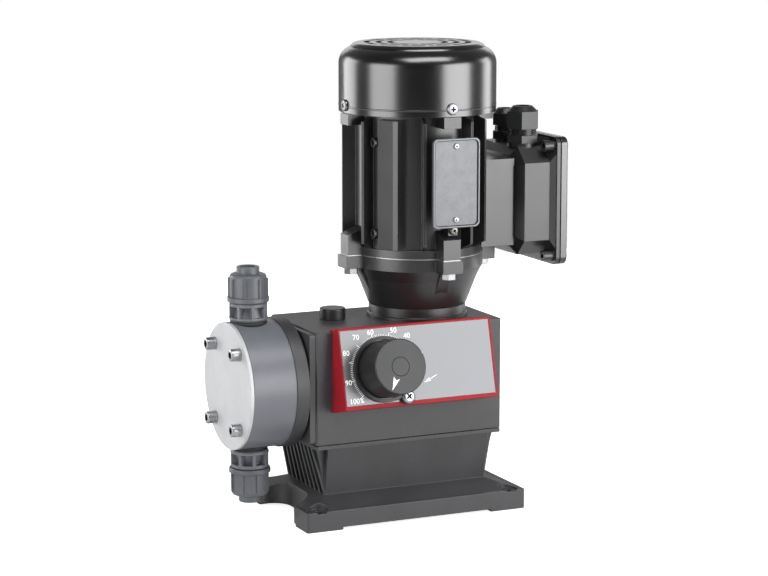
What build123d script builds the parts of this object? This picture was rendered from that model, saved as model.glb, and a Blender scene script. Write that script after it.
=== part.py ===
from build123d import *
import math
import os

# Motor-driven diaphragm metering pump, in millimetres.
# X runs from the dosing head (-X) to the terminal box (+X), the operator's panel faces -Y and Z is up.
# The origin is the centre of the four base screws, on the underside of the foot pads.

# Clearances that the fits below share
running_gap = 0.05
loose_gap = 0.3
seat_gap = 0.02

# Base and pedestal, one moulding
base_length = 188.0
base_width = 122.0
base_corner_r = 1.6
pad_height = 2.0
pad_length = 30.0
pad_width = 24.0
deck_edge_z = 15.5
deck_foot_z = 22.8
base_hole_dx = base_length - 24.0
base_hole_dy = base_width - 14.0
base_hole_r = 3.4
screw_pocket_r = 8.0
notch_depth = 18.0
notch_width = 60.0
notch_corner_r = 15.0
notch_mouth_r = 5.0
pedestal_half_x = 69.0
pedestal_foot_half_y = 37.0
pedestal_top_half_y = 44.5
pedestal_wall = 4.0
end_core_half_x = 62.0
end_foot_half_x = 69.0
end_top_half_x = 79.0
end_foot_half_y = 36.0
end_top_half_y = 31.0
end_rib_count = 9
end_rib_thick = 2.2
corner_rib_foot_y = 35.0
corner_rib_top_y = 36.4
corner_rib_in = 2.0
lip_bottom_z = 60.3
lip_thick = 3.0

# Gear housing
housing_half_x = 79.5
housing_half_y = 45.5
housing_top_z = 152.3
housing_wall = 6.0
housing_corner_r = 1.4
gasket_thick = 0.8
shaft_z = 107.6

# Motor and bell adapter, on one upright axis
motor_x = 27.5
flange_pcd = 115.0
adapter_foot_r = 40.0
adapter_top_r = 52.0
adapter_top_z = 203.5
adapter_ear_r = 65.0
adapter_ear_width = 17.0
adapter_ear_thick = 9.7
adapter_bore_r = 30.0
spigot_depth = 4.0
frame_top_z = 317.0
frame_inner_r = 41.0
frame_body_r = 49.0
fin_outer_r = 59.5
fin_thick = 2.6
fin_bottom_z = 213.0
fin_top_z = 313.0
fin_angles = (20, -20, 160, 200, -38, 218, 71, 109)
lug_outer_r = 63.0
lug_width = 14.5
cowl_r = 62.0
cowl_bottom_z = 315.3
cowl_top_z = 368.6
cowl_top_r = 49.4
cowl_wall = 1.6
cowl_screw_r = 2.4
cowl_screw_cap_r = 4.6
cowl_screw_cap = 2.2
cowl_slot_width = 4.6
cowl_slot_rings = ((22.0, 8, 30), (31.0, 10, 24), (40.0, 12, 20))
motor_shaft_r = 7.0
bolt_r = 4.0
bolt_head_room = 6.4
adapter_seal_r = 14.0
motor_bearing_r = 17.0
motor_bearing_width = 10.0
rotor_r = 24.0
fan_z = 330.0
fan_r = 53.0
fan_disc_r = 40.0
fan_height = 17.0
fan_blades = 9

# Terminal box on the +X side of the motor
box_centre_z = 242.5
neck_end_x = 96.0
neck_half_y = 34.0
neck_half_z = 34.5
box_half_y = 43.0
box_half_z = 43.0
box_chamfer = 12.0
box_face_x = 123.0
rim_x = 130.0
rim_half_y = 48.0
rim_half_z = 51.0
box_wall = 3.0
lid_gasket_thick = 1.0
lid_thick = 6.0
lid_raise = 1.5
lid_screw_r = 1.9
gland_x = 110.5
gland_y = -20.0
small_gland_y = 10.0
gland_hex = 24.0
small_gland_hex = 19.0
gland_bore_r = 6.0
small_gland_bore_r = 4.5
gland_boss = 2.5
gland_hex_thick = 6.0
gland_neck = 13.0
gland_cap = 18.0
small_gland_cap = 13.5
gland_wall = 2.0
glands = ((gland_y, gland_hex, gland_bore_r, gland_cap),
          (small_gland_y, small_gland_hex, small_gland_bore_r, small_gland_cap))

# Worm gear and eccentric
gear_module = 1.25
wheel_teeth = 36
worm_pitch_r = 9.0
wheel_face = 9.0
wheel_room = 0.8
wheel_phase = 180.0 / wheel_teeth
eccentric_x = motor_x - worm_pitch_r - gear_module * wheel_teeth / 2
eccentric_shaft_r = 7.0
cam_r = 14.0
cam_offset = 2.5
cam_thick = 8.0
cam_gap = 2.0
shaft_bearing_r = 13.0
shaft_bearing_width = 8.0
worm_length = 26.0

# Tappet, bush, spring and diaphragm, on the head axis
hub_r = 17.0
hub_reach = 24.0
stroke = 5.0
tappet_r = 7.0
bush_r = 10.0
follower_gap = 0.4
follower_thick = 5.0
follower_z_half = 7.0
spring_coil_r = 13.5
spring_wire_r = 1.2
spring_turns = 4

# Dosing head
plate_front_x = -134.9
plate_thick = 2.5
head_rear_x = -96.9
head_r = 49.7
ring_rear_x = -86.8
ring_r = 50.7
cover_plate_front_x = -84.3
head_screw_dy = 26.0
head_screw_dz = 29.5
head_screw_r = 3.0
head_screw_cap_r = 5.0
head_screw_cap = 6.4
head_washer_thick = 1.6
valve_x = -117.0
chamber_r = 33.0
chamber_depth = 8.0
cross_drill_z = 18.0
drill_overrun = 5.0
diaphragm_r = 44.0
diaphragm_thick = 2.0
diaphragm_core_r = 22.0
core_neck_r = 9.0
core_disc = 2.5
dish_depth = 8.0
crown_flat = 2.6
head_bolt_engage = 8.0

# Valves, measured along the valve axis from the head's crown outwards
valve_socket_r = 12.2
valve_socket_depth = 20.0
cage_r = 15.0
cage_height = 13.7
cage_ring = 2.6
cage_posts = 8
cage_phase = 37.5
nut_body_r = 14.4
nut_rib_r = 15.7
nut_flange_r = 16.2
nut_height = 22.0
nut_ribs = 8
nut_phase = {1: 15.0, -1: 2.0}
nozzle_r = 8.75
nozzle_bore_r = 6.0
nozzle_reach = 5.5
valve_bore_r = 5.5
thread_r = 12.6
ball_r = 4.0
ball_lift = 2.0
ball_gap = 0.05
seat_bore_r = 3.0
seat_floor = 3.0
seat_cup_height = 12.6
stop_bar = 0.7
oring_show = 1.5

# Tilted operator's panel
panel_tilt = 14.5
panel_top_y = -55.2
panel_top_z = 156.2
panel_left_x = -66.0
panel_right_x = 64.4
panel_height = 62.7
panel_wall = 2.0
panel_border = 1.2
label_thick = 0.8
panel_back_gap = 0.3
knob_u = -33.5
knob_x = -31.0
knob_r = 22.4
knob_front_r = 21.3
knob_foot_gap = 0.8
knob_height = 31.0
knob_cap_r = 7.2
knob_floor = 5.0
knob_cap_thick = 1.8
spindle_r = 5.0
spindle_tip_y = -17.5
spindle_pin_r = 2.0
spindle_pin_offset = 2.5
spindle_pin = 4.0
lock_ring_r = 25.6
lock_ring_inner_r = 23.0
lock_ring_height = 3.5
lock_screw_x = -14.2
lock_screw_u = -56.0
lock_screw_r = 5.2
lock_thread_r = 1.6

# Filler plug on the housing
filler_x = -42.0
filler_y = 9.0
filler_cap_r = 10.2
filler_cap_height = 8.5
filler_bore_r = 7.0

# Name plate on the motor, left bare
plate_x = 30.0
plate_width = 40.0
plate_bottom_z = 230.0
plate_top_z = 299.0
plate_y = -62.6
plate_screw_in = 6.0
plate_screw_zs = (plate_bottom_z + plate_screw_in, plate_top_z - plate_screw_in)
plate_seat_r = 3.2
plate_screw_r = 1.2
earth_screw_r = 2.0
earth_seat_y = 57.0
earth_z = 226.8
foot_boss_z = (223.0, 294.0)
foot_boss_y = 24.4
foot_boss_reach = 50.0


def block(x0, x1, y0, y1, z0, z1):
    """A box between two opposite corners, given in any order."""
    size = (abs(x1 - x0), abs(y1 - y0), abs(z1 - z0))
    return Pos((x0 + x1) / 2, (y0 + y1) / 2, (z0 + z1) / 2) * Box(*size)


def rod(r, start, direction, length):
    """A round bar from a start point along a direction."""
    return extrude(Plane(origin=start, z_dir=direction) * Circle(r), amount=length)


def tube(r_out, r_in, start, direction, length):
    """A round tube from a start point along a direction."""
    return extrude(Plane(origin=start, z_dir=direction) * (Circle(r_out) - Circle(r_in)), amount=length)


def hexagon(across_flats, start, direction, length):
    """A hexagonal bar from a start point along a direction."""
    outline = RegularPolygon(across_flats / 2, 6, major_radius=False)
    return extrude(Plane(origin=start, z_dir=direction) * outline, amount=length)


def turned(points, x, y, z, flip=1):
    """A solid of revolution about an upright axis; each point is (radius, height)."""
    outline = Polyline([(r, h * flip) for r, h in points], close=True)
    return Pos(x, y, z) * revolve(make_face(Plane.XZ * outline), Axis.Z)


def slab(half_x, half_y, z):
    """A rectangle on a level plane, for lofting."""
    return Plane.XY.offset(z) * Rectangle(2 * half_x, 2 * half_y)


def tapered(half_x0, half_y0, z0, half_x1, half_y1, z1):
    """A block whose rectangle changes from one level to another."""
    return loft([slab(half_x0, half_y0, z0), slab(half_x1, half_y1, z1)])


def around(solid, angles, x=0.0, y=0.0):
    """Copies of a solid turned about an upright axis."""
    return [Pos(x, y, 0) * Rot(0, 0, a) * Pos(-x, -y, 0) * solid for a in angles]


def corner_signs():
    """The four corners of a rectangle, as pairs of signs."""
    return [(a, b) for a in (-1, 1) for b in (-1, 1)]


# Directions and points of the tilted panel
tilt = math.radians(panel_tilt)
panel_out = Vector(0, -math.cos(tilt), math.sin(tilt))
panel_up = Vector(0, math.sin(tilt), math.cos(tilt))


def panel_point(x, u, out=0.0):
    """A point on the panel: x across, u up from its top edge, out away from it."""
    return Vector(x, panel_top_y, panel_top_z) + panel_up * u + panel_out * out


def panel_plane(x, u, out=0.0):
    """A sketch plane on the panel, with local X across and local Y up it."""
    return Plane(origin=panel_point(x, u, out), x_dir=(1, 0, 0), z_dir=panel_out)


# Levels that several pieces share
gasket_z = lip_bottom_z + lip_thick
housing_bottom_z = gasket_z + gasket_thick
adapter_foot_z = housing_top_z
head_top_z = shaft_z + head_r
lid_x = rim_x + lid_gasket_thick
lid_outer_x = lid_x + lid_thick
gland_seat_z = box_centre_z + box_half_z
gland_base_z = gland_seat_z + gland_boss
gland_cap_z = gland_base_z + 11.0
lid_screw_y = rim_half_y - 7
lid_screw_z = rim_half_z - 7
wheel_tip_r = gear_module * (wheel_teeth / 2 + 1)
worm_root_r = worm_pitch_r - 1.2 * gear_module
follower_x = eccentric_x - cam_r - cam_offset - follower_gap
cam_y = wheel_face / 2 + cam_gap + cam_thick / 2
fork_bar_x = eccentric_x - wheel_tip_r - 2.0
bearing_seat_y = cam_y + cam_thick / 2 + 2.0
cowl_screw_z = cowl_bottom_z + 6.0
worm_bottom_z = shaft_z - worm_length / 2 - 4.0 - shaft_bearing_width
hub_end_x = -housing_half_x + hub_reach
motor_bearing_low_z = adapter_top_z - 6 - motor_bearing_width
motor_bearing_top_z = frame_top_z - 2 - motor_bearing_width
bush_front_x = head_rear_x + dish_depth + 1.0
socket_floor = head_r - valve_socket_depth
valve_foot = socket_floor + seat_cup_height + 0.1
cage_foot = head_r + oring_show
cage_top = cage_foot + cage_height
nut_foot = cage_top + 0.6
nut_top = nut_foot + nut_height
ball_rest = seat_floor + math.sqrt(ball_r ** 2 - seat_bore_r ** 2) + ball_gap


def base_outline(z, height):
    outline = RectangleRounded(base_length, base_width, base_corner_r)
    return extrude(Plane.XY.offset(z) * outline, amount=height)


def housing_outline(z, height):
    outline = RectangleRounded(2 * housing_half_x, 2 * housing_half_y, housing_corner_r)
    return extrude(Plane.XY.offset(z) * outline, amount=height)


def notch_cut():
    """The scoop in the -X edge that leaves room for the suction hose."""
    edge = -base_length / 2
    half = notch_width / 2
    r = notch_mouth_r
    outline = Rectangle(2 * notch_depth, notch_width)
    outline = fillet(outline.vertices().group_by(Axis.X)[-1], notch_corner_r)
    scoop = Pos(edge, 0, -1) * extrude(outline, amount=deck_foot_z + 2)
    for side in (-1, 1):
        corner = block(edge - 1, edge + r, side * (half - 0.01), side * (half + r), -1, deck_foot_z + 1)
        corner -= rod(r, (edge + r, side * (half + r), -2), (0, 0, 1), deck_foot_z + 4)
        scoop += corner
    return scoop


def pedestal_rib(side, y_foot, y_top, foot_x, top_x):
    """One thin upright rib on the pedestal's end, leaning outwards from the deck to the lip."""
    root_x = end_core_half_x - 1
    foot = Pos(side * (root_x + foot_x) / 2, y_foot) * Rectangle(foot_x - root_x, end_rib_thick)
    top = Pos(side * (root_x + top_x) / 2, y_top) * Rectangle(top_x - root_x, end_rib_thick)
    return loft([Plane.XY.offset(deck_foot_z - 2) * foot, Plane.XY.offset(gasket_z - 1) * top])


def pedestal_ribs():
    """Both ribbed ends, with one shorter rib in each of the four open corners."""
    ribs = []
    for side in (-1, 1):
        for i in range(end_rib_count):
            share = 2 * i / (end_rib_count - 1) - 1
            ribs.append(pedestal_rib(side, share * end_foot_half_y, share * end_top_half_y,
                                     end_foot_half_x, end_top_half_x))
        for edge in (-1, 1):
            ribs.append(pedestal_rib(side, edge * corner_rib_foot_y, edge * corner_rib_top_y,
                                     end_foot_half_x - corner_rib_in, end_top_half_x - corner_rib_in))
    return ribs


def base_pedestal():
    body = base_outline(pad_height, deck_edge_z - pad_height)
    body += tapered(base_length / 2 - 1.5, base_width / 2 - 1.5, deck_edge_z - 1,
                    pedestal_half_x, pedestal_foot_half_y, deck_foot_z)
    for sx, sy in corner_signs():
        x = sx * (base_length - pad_length) / 2
        y = sy * (base_width - pad_width) / 2
        pad = Pos(x, y, pad_height / 2 + 0.5) * Box(pad_length, pad_width, pad_height + 1)
        body += pad & base_outline(0, deck_edge_z)
    # Waist: front and back panels that lean in to the foot, around a narrower core
    body += tapered(end_core_half_x, pedestal_foot_half_y, deck_foot_z - 2,
                    end_core_half_x, pedestal_top_half_y, gasket_z - 1)
    panels = tapered(pedestal_half_x, pedestal_foot_half_y, deck_foot_z - 2,
                     pedestal_half_x, pedestal_top_half_y, gasket_z - 1)
    panels -= tapered(pedestal_half_x + 1, pedestal_foot_half_y - pedestal_wall, deck_foot_z - 3,
                      pedestal_half_x + 1, pedestal_top_half_y - pedestal_wall, gasket_z)
    body += panels
    for rib in pedestal_ribs():
        body += rib
    body += housing_outline(lip_bottom_z, lip_thick)
    # Open underneath, with one cross wall
    inside_x = end_core_half_x - pedestal_wall
    hollow = tapered(inside_x, pedestal_foot_half_y - pedestal_wall, -1,
                     inside_x, pedestal_top_half_y - pedestal_wall, lip_bottom_z - lip_thick)
    hollow -= block(-pedestal_wall / 2, pedestal_wall / 2, -base_width / 2, base_width / 2, -2, gasket_z)
    body -= hollow
    body -= notch_cut()
    for sx, sy in corner_signs():
        spot = (sx * base_hole_dx / 2, sy * base_hole_dy / 2)
        body -= rod(base_hole_r, (*spot, -1), (0, 0, 1), deck_foot_z)
        body -= rod(screw_pocket_r, (*spot, deck_edge_z - 1.5), (0, 0, 1), deck_foot_z)
    return body


def housing_gasket():
    ring = RectangleRounded(2 * housing_half_x - 3, 2 * housing_half_y - 3, housing_corner_r)
    ring -= Rectangle(2 * (housing_half_x - housing_wall), 2 * (housing_half_y - housing_wall))
    return extrude(Plane.XY.offset(gasket_z) * ring, amount=gasket_thick)


def gear_housing():
    body = housing_outline(housing_bottom_z, housing_top_z - housing_bottom_z)
    body = fillet(body.faces().sort_by(Axis.Z)[-1].edges(), housing_corner_r - 0.5)
    inner_x = housing_half_x - housing_wall
    inner_y = housing_half_y - housing_wall
    inner_top = housing_top_z - housing_wall
    body -= block(-inner_x, inner_x, -inner_y, inner_y, housing_bottom_z - 1, inner_top)
    # Bosses for the eccentric shaft's bearings, and the bridge that carries the worm's lower bearing
    seat_r = shaft_bearing_r + seat_gap
    for side in (-1, 1):
        along = (0, side, 0)
        boss_start = (eccentric_x, side * bearing_seat_y, shaft_z)
        boss = rod(shaft_bearing_r + 4, boss_start, along, inner_y - bearing_seat_y + 1)
        boss -= rod(seat_r, boss_start, along, shaft_bearing_width)
        body += boss
    bridge = block(motor_x - shaft_bearing_r - 4, inner_x + 1, -inner_y - 1, inner_y + 1,
                   worm_bottom_z - 3, worm_bottom_z + shaft_bearing_width)
    bridge -= rod(seat_r, (motor_x, 0, worm_bottom_z), (0, 0, 1), shaft_bearing_width + 1)
    # Relief in which the wheel's teeth turn clear of the bridge
    relief_half = wheel_face / 2 + wheel_room
    bridge -= rod(wheel_tip_r + wheel_room, (eccentric_x, -relief_half, shaft_z), (0, 1, 0), 2 * relief_half)
    body += bridge
    # Openings: adapter spigot, tappet hub and filler
    through = housing_wall + 2
    body -= rod(adapter_bore_r + seat_gap, (motor_x, 0, inner_top - 1), (0, 0, 1), through)
    body -= rod(hub_r + seat_gap, (-housing_half_x - 1, 0, shaft_z), (1, 0, 0), through)
    body -= rod(filler_bore_r, (filler_x, filler_y, inner_top - 1), (0, 0, 1), through)
    # Boss and bore of the adjusting spindle, square to the tilted panel
    start = panel_point(knob_x, knob_u, -4)
    wall_run = (-inner_y - start.Y) / -panel_out.Y
    in_front = block(-inner_x, inner_x, -housing_half_y - 20, -inner_y, housing_bottom_z, housing_top_z)
    body += rod(spindle_r + 4, start, panel_out * -1, wall_run + 2) & in_front
    body -= rod(spindle_r + running_gap, panel_point(knob_x, knob_u, 5), panel_out * -1, wall_run + 12)
    return body


def head_screw_spots(x):
    """Centres of the four head screws on a plane square to the head axis."""
    return [(x, sy * head_screw_dy, shaft_z + sz * head_screw_dz) for sy, sz in corner_signs()]


def pump_flange():
    """Square cover on the housing's -X side, with the round ring that carries the dosing head."""
    cover_thick = -housing_half_x - cover_plate_front_x
    middle = (cover_plate_front_x, 0, (housing_bottom_z + housing_top_z) / 2)
    cover = RectangleRounded(housing_top_z - housing_bottom_z - 2, 2 * housing_half_y - 3, 2.0)
    body = extrude(Plane(origin=middle, z_dir=(1, 0, 0)) * cover, amount=cover_thick)
    neck_length = cover_plate_front_x - ring_rear_x + 2
    body += rod(ring_r - 8, (ring_rear_x - 1, 0, shaft_z), (1, 0, 0), neck_length)
    body += rod(ring_r, (head_rear_x, 0, shaft_z), (1, 0, 0), ring_rear_x - head_rear_x)
    body += rod(hub_r, (cover_plate_front_x, 0, shaft_z), (1, 0, 0), cover_thick + hub_reach)
    # Recess for the diaphragm's rim, dished centre, and the bush's bore
    body -= rod(diaphragm_r + seat_gap, (head_rear_x - 1, 0, shaft_z), (1, 0, 0), diaphragm_thick + 1)
    dish = Plane(origin=(head_rear_x, 0, shaft_z), z_dir=(1, 0, 0))
    body -= loft([dish.offset(diaphragm_thick - 0.1) * Circle(chamber_r + 1),
                  dish.offset(dish_depth) * Circle(diaphragm_core_r + 2)])
    body -= rod(bush_r + seat_gap, (head_rear_x, 0, shaft_z), (1, 0, 0), -head_rear_x)
    for spot in head_screw_spots(head_rear_x - 1):
        body -= rod(head_screw_r + seat_gap, spot, (1, 0, 0), head_bolt_engage + 2)
    return body


def tappet_bush():
    start = (bush_front_x, 0, shaft_z)
    return tube(bush_r, tappet_r + running_gap, start, (1, 0, 0), hub_end_x - bush_front_x)


def head_body():
    front = plate_front_x + plate_thick
    body = rod(head_r, (front, 0, shaft_z), (1, 0, 0), head_rear_x - front)
    body = fillet(body.edges().sort_by(Axis.X)[0], 0.5)
    # Dished chamber that faces the diaphragm
    face = Plane(origin=(head_rear_x, 0, shaft_z), z_dir=(-1, 0, 0))
    body -= loft([face.offset(-0.1) * Circle(chamber_r), face.offset(chamber_depth) * Circle(chamber_r - 10)])
    # Valve sockets with a spot face for the ring seal, and two drillings from each to the chamber
    for side in (-1, 1):
        inward = (0, 0, -side)
        crown = (valve_x, 0, shaft_z + side * (head_r + 3))
        body -= rod(valve_socket_r, crown, inward, valve_socket_depth + 3)
        body -= rod(cage_r - 0.4, crown, inward, 3 + crown_flat)
        drill_top = (valve_x, 0, shaft_z + side * (socket_floor + 1))
        body -= rod(seat_bore_r, drill_top, inward, socket_floor + 1 - cross_drill_z + drill_overrun)
        cross = (valve_x, 0, shaft_z + side * cross_drill_z)
        body -= rod(seat_bore_r, cross, (1, 0, 0), head_rear_x - valve_x)
    for spot in head_screw_spots(front - 1):
        body -= rod(head_screw_r + loose_gap, spot, (1, 0, 0), head_rear_x - front + 2)
    return body


def head_plate():
    body = rod(head_r, (plate_front_x, 0, shaft_z), (1, 0, 0), plate_thick)
    for spot in head_screw_spots(plate_front_x - 1):
        body -= rod(head_screw_r + loose_gap, spot, (1, 0, 0), plate_thick + 2)
    return body


def head_screws():
    """Four socket-head screws through plate and head into the flange ring."""
    screws = []
    seat_x = plate_front_x - head_washer_thick
    for x, y, z in head_screw_spots(seat_x):
        cap = rod(head_screw_cap_r, (x - head_screw_cap, y, z), (1, 0, 0), head_screw_cap)
        cap = fillet(cap.edges().sort_by(Axis.X)[0], 0.6)
        cap -= hexagon(5.0, (x - head_screw_cap - 1, y, z), (1, 0, 0), 4.5)
        screws.append(cap + rod(head_screw_r, (x - 1, y, z), (1, 0, 0), head_rear_x - x + head_bolt_engage))
    return screws


def head_washers():
    spots = head_screw_spots(plate_front_x - head_washer_thick)
    return [tube(head_screw_cap_r + 0.6, head_screw_r + loose_gap, spot, (1, 0, 0), head_washer_thick)
            for spot in spots]


def diaphragm():
    """Rubber disc: flat rim in the flange's recess and one rolled wave round the core."""
    t = diaphragm_thick
    core = core_neck_r + seat_gap
    wave_in = diaphragm_core_r + 1
    wave_top = diaphragm_core_r + 6
    points = [(0, diaphragm_r), (t, diaphragm_r), (t, chamber_r), (t + 1.2, wave_top), (t, wave_in),
              (t, core), (0, core), (0, wave_in), (1.2, wave_top), (0, chamber_r)]
    outline = Polyline(points, close=True)
    body = Pos(head_rear_x, 0, shaft_z) * revolve(make_face(Plane.XZ * outline), Axis.X)
    for spot in head_screw_spots(head_rear_x - 1):
        body -= rod(head_screw_r + loose_gap, spot, (1, 0, 0), t + 2)
    return body


def diaphragm_core():
    """Metal disc behind the rubber and the clamping disc in front of it, on one neck."""
    front_disc = 2.0
    back_x = head_rear_x + diaphragm_thick + seat_gap
    front_x = head_rear_x - front_disc - seat_gap
    body = rod(diaphragm_core_r, (back_x, 0, shaft_z), (1, 0, 0), core_disc)
    body += rod(core_neck_r, (front_x, 0, shaft_z), (1, 0, 0), back_x - front_x + 1)
    body += rod(diaphragm_core_r - 5, (front_x, 0, shaft_z), (1, 0, 0), front_disc)
    return body


def tappet():
    """Push rod with a spring plate and a fork whose two pads the cams push."""
    front_x = head_rear_x + diaphragm_thick + core_disc + 2 * seat_gap
    body = rod(tappet_r, (front_x, 0, shaft_z), (1, 0, 0), fork_bar_x - front_x)
    plate_x0 = fork_bar_x - follower_thick
    body += rod(spring_coil_r + spring_wire_r + 1.2, (plate_x0, 0, shaft_z), (1, 0, 0), follower_thick)
    low = shaft_z - follower_z_half
    high = shaft_z + follower_z_half
    outer_y = cam_y + cam_thick / 2
    inner_y = cam_y - cam_thick / 2
    body += block(plate_x0, fork_bar_x, -outer_y, outer_y, low, high)
    for side in (-1, 1):
        body += block(fork_bar_x - 1, follower_x, side * inner_y, side * outer_y, low, high)
    return body


def return_spring():
    """Coil spring between the flange's hub and the tappet's plate."""
    start = hub_end_x + spring_wire_r + 0.1
    end = fork_bar_x - follower_thick - spring_wire_r - 0.1
    helix = Helix(pitch=(end - start) / spring_turns, height=end - start, radius=spring_coil_r)
    wire = Plane(origin=helix @ 0, z_dir=helix % 0) * Circle(spring_wire_r)
    coil = sweep(wire, path=helix, is_frenet=True)
    return Pos(start, 0, shaft_z) * Rot(0, 90, 0) * coil


def worm_wheel():
    """Bronze wheel; at rest its teeth stand half a pitch on, so that they mesh with the worm."""
    pitch_r = gear_module * wheel_teeth / 2
    root_r = pitch_r - 1.15 * gear_module
    tip_r = pitch_r + 0.9 * gear_module
    tooth_pitch = 2 * math.pi / wheel_teeth
    tip_half = 0.10 * tooth_pitch
    root_half = 0.27 * tooth_pitch
    points = []
    for i in range(wheel_teeth):
        a = i * tooth_pitch
        for r, da in ((root_r, -root_half), (tip_r, -tip_half), (tip_r, tip_half), (root_r, root_half)):
            points.append((r * math.cos(a + da), r * math.sin(a + da)))
    outline = make_face(Polyline(points, close=True))
    outline -= Circle(eccentric_shaft_r + seat_gap)
    wheel = Rot(90, 0, 0) * extrude(outline, amount=wheel_face / 2, both=True)
    recess = tube(pitch_r - 5, eccentric_shaft_r + 5, (0, -wheel_face / 2 - 1, 0), (0, 1, 0), 3.0)
    wheel -= recess
    wheel -= Pos(0, wheel_face - 1, 0) * recess
    return Pos(eccentric_x, 0, shaft_z) * Rot(0, wheel_phase, 0) * wheel


def eccentric_shaft():
    """Cross shaft with one cam on each side of the worm wheel."""
    half = bearing_seat_y + shaft_bearing_width
    body = rod(eccentric_shaft_r, (eccentric_x, -half, shaft_z), (0, 1, 0), 2 * half)
    for side in (-1, 1):
        centre = (eccentric_x - cam_offset, side * cam_y - cam_thick / 2, shaft_z)
        body += rod(cam_r, centre, (0, 1, 0), cam_thick)
    return body


def bearing(x, y, z, direction, bore, outer, width):
    """A ball bearing as its two rings with the closed shield between them."""
    ring = tube(outer, bore, (x, y, z), direction, width)
    middle = (outer + bore) / 2
    groove = tube(middle + 2.0, middle - 2.0, (x, y, z), direction, 0.6)
    return ring - groove


def shaft_bearings():
    bore = eccentric_shaft_r + running_gap
    return [bearing(eccentric_x, side * bearing_seat_y, shaft_z, (0, side, 0), bore,
                    shaft_bearing_r, shaft_bearing_width) for side in (-1, 1)]


def worm_profile():
    """Half-section of one worm thread, as (radius, axial offset)."""
    pitch = math.pi * gear_module
    crest = worm_pitch_r + 0.85 * gear_module
    root = worm_root_r - 0.3
    return [(root, -0.30 * pitch), (crest, -0.10 * pitch), (crest, 0.10 * pitch), (root, 0.30 * pitch)]


def motor_shaft():
    """Rotor shaft whose lower end is cut as the worm."""
    bottom = worm_bottom_z + 0.5
    body = rod(motor_shaft_r, (motor_x, 0, bottom), (0, 0, 1), fan_z + 14 - bottom)
    body += rod(worm_root_r, (motor_x, 0, shaft_z - worm_length / 2), (0, 0, 1), worm_length)
    thread_length = worm_length - 6
    helix = Helix(pitch=math.pi * gear_module, height=thread_length, radius=worm_root_r)
    outline = make_face(Plane.XZ * Polyline(worm_profile(), close=True))
    thread = sweep(outline, path=helix, is_frenet=True)
    return body + Pos(motor_x, 0, shaft_z - thread_length / 2) * thread


def motor_bearings():
    bore = motor_shaft_r + running_gap
    up = (0, 0, 1)
    low = bearing(motor_x, 0, worm_bottom_z, up, bore, shaft_bearing_r, shaft_bearing_width)
    pair = [bearing(motor_x, 0, z, up, bore, motor_bearing_r, motor_bearing_width)
            for z in (motor_bearing_low_z, motor_bearing_top_z)]
    return [low] + pair


def flange_spots():
    """Centres of the four flange bolts round the motor axis."""
    r = flange_pcd / 2
    return [(motor_x + r, 0), (motor_x, r), (motor_x - r, 0), (motor_x, -r)]


def bell_adapter():
    """Cast bell between housing and motor, with four bolted ears on tapered webs."""
    top = adapter_top_z - adapter_foot_z
    seal = adapter_seal_r + seat_gap
    seat = motor_bearing_r + seat_gap
    neck = adapter_foot_r - 1.4
    floor_z = top - 8 - motor_bearing_width
    profile = [(seal, -spigot_depth), (adapter_bore_r, -spigot_depth), (adapter_bore_r, 0),
               (adapter_foot_r, 0), (adapter_foot_r, 2.5), (neck, 3.2), (neck, 10.0),
               (adapter_foot_r - 0.6, 11.5), (adapter_top_r - 4.5, top - 18.5),
               (adapter_top_r, top - adapter_ear_thick), (adapter_top_r, top), (44.0, top), (44.0, top - 6),
               (seat, top - 6), (seat, floor_z), (adapter_top_r - 9.5, floor_z), (adapter_foot_r - 5.5, 11.0),
               (adapter_bore_r, 4.0), (seal, 4.0)]
    body = turned(profile, motor_x, 0, adapter_foot_z)
    under = adapter_top_z - adapter_ear_thick
    half = adapter_ear_width / 2
    ear = block(motor_x + adapter_top_r - 7, motor_x + adapter_ear_r, -half, half, under, adapter_top_z)
    side_view = Polyline([(motor_x + 38.5, adapter_foot_z + 14), (motor_x + 53, under - 2),
                          (motor_x + 58, under + 1), (motor_x + 43, under + 1)], close=True)
    web = extrude(Plane.XZ * make_face(side_view), amount=5.0, both=True)
    for arm in around(ear + web, [0, 90, 180, 270], motor_x, 0):
        body += arm
    for x, y in flange_spots():
        body -= rod(bolt_r + loose_gap, (x, y, under - 1), (0, 0, 1), adapter_ear_thick + 2)
        body -= rod(bolt_head_room, (x, y, adapter_foot_z), (0, 0, 1), under - adapter_foot_z)
    return body


def adapter_bolts():
    """Four hexagon bolts, heads down, from the ears into the motor's lugs."""
    bolts = []
    z = adapter_top_z - adapter_ear_thick
    for x, y in flange_spots():
        head = hexagon(10.0, (x, y, z - 5.0), (0, 0, 1), 5.0)
        bolts.append(head + rod(bolt_r, (x, y, z - 1), (0, 0, 1), adapter_ear_thick + 12))
    return bolts


def shaft_seal():
    start = (motor_x, 0, adapter_foot_z - spigot_depth)
    return tube(adapter_seal_r, motor_shaft_r + running_gap, start, (0, 0, 1), 7.0)


def thin_fin(angle):
    """One cooling fin with sloped ends; the angle is counted from -Y towards -X."""
    outline = Polyline([(-frame_body_r + 1, fin_bottom_z - 3), (-fin_outer_r, fin_bottom_z + 2),
                        (-fin_outer_r, fin_top_z - 3), (-frame_body_r + 1, fin_top_z + 2)], close=True)
    fin = extrude(Plane.YZ * make_face(outline), amount=fin_thick / 2, both=True)
    return Pos(motor_x, 0, 0) * Rot(0, 0, -angle) * fin


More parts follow.
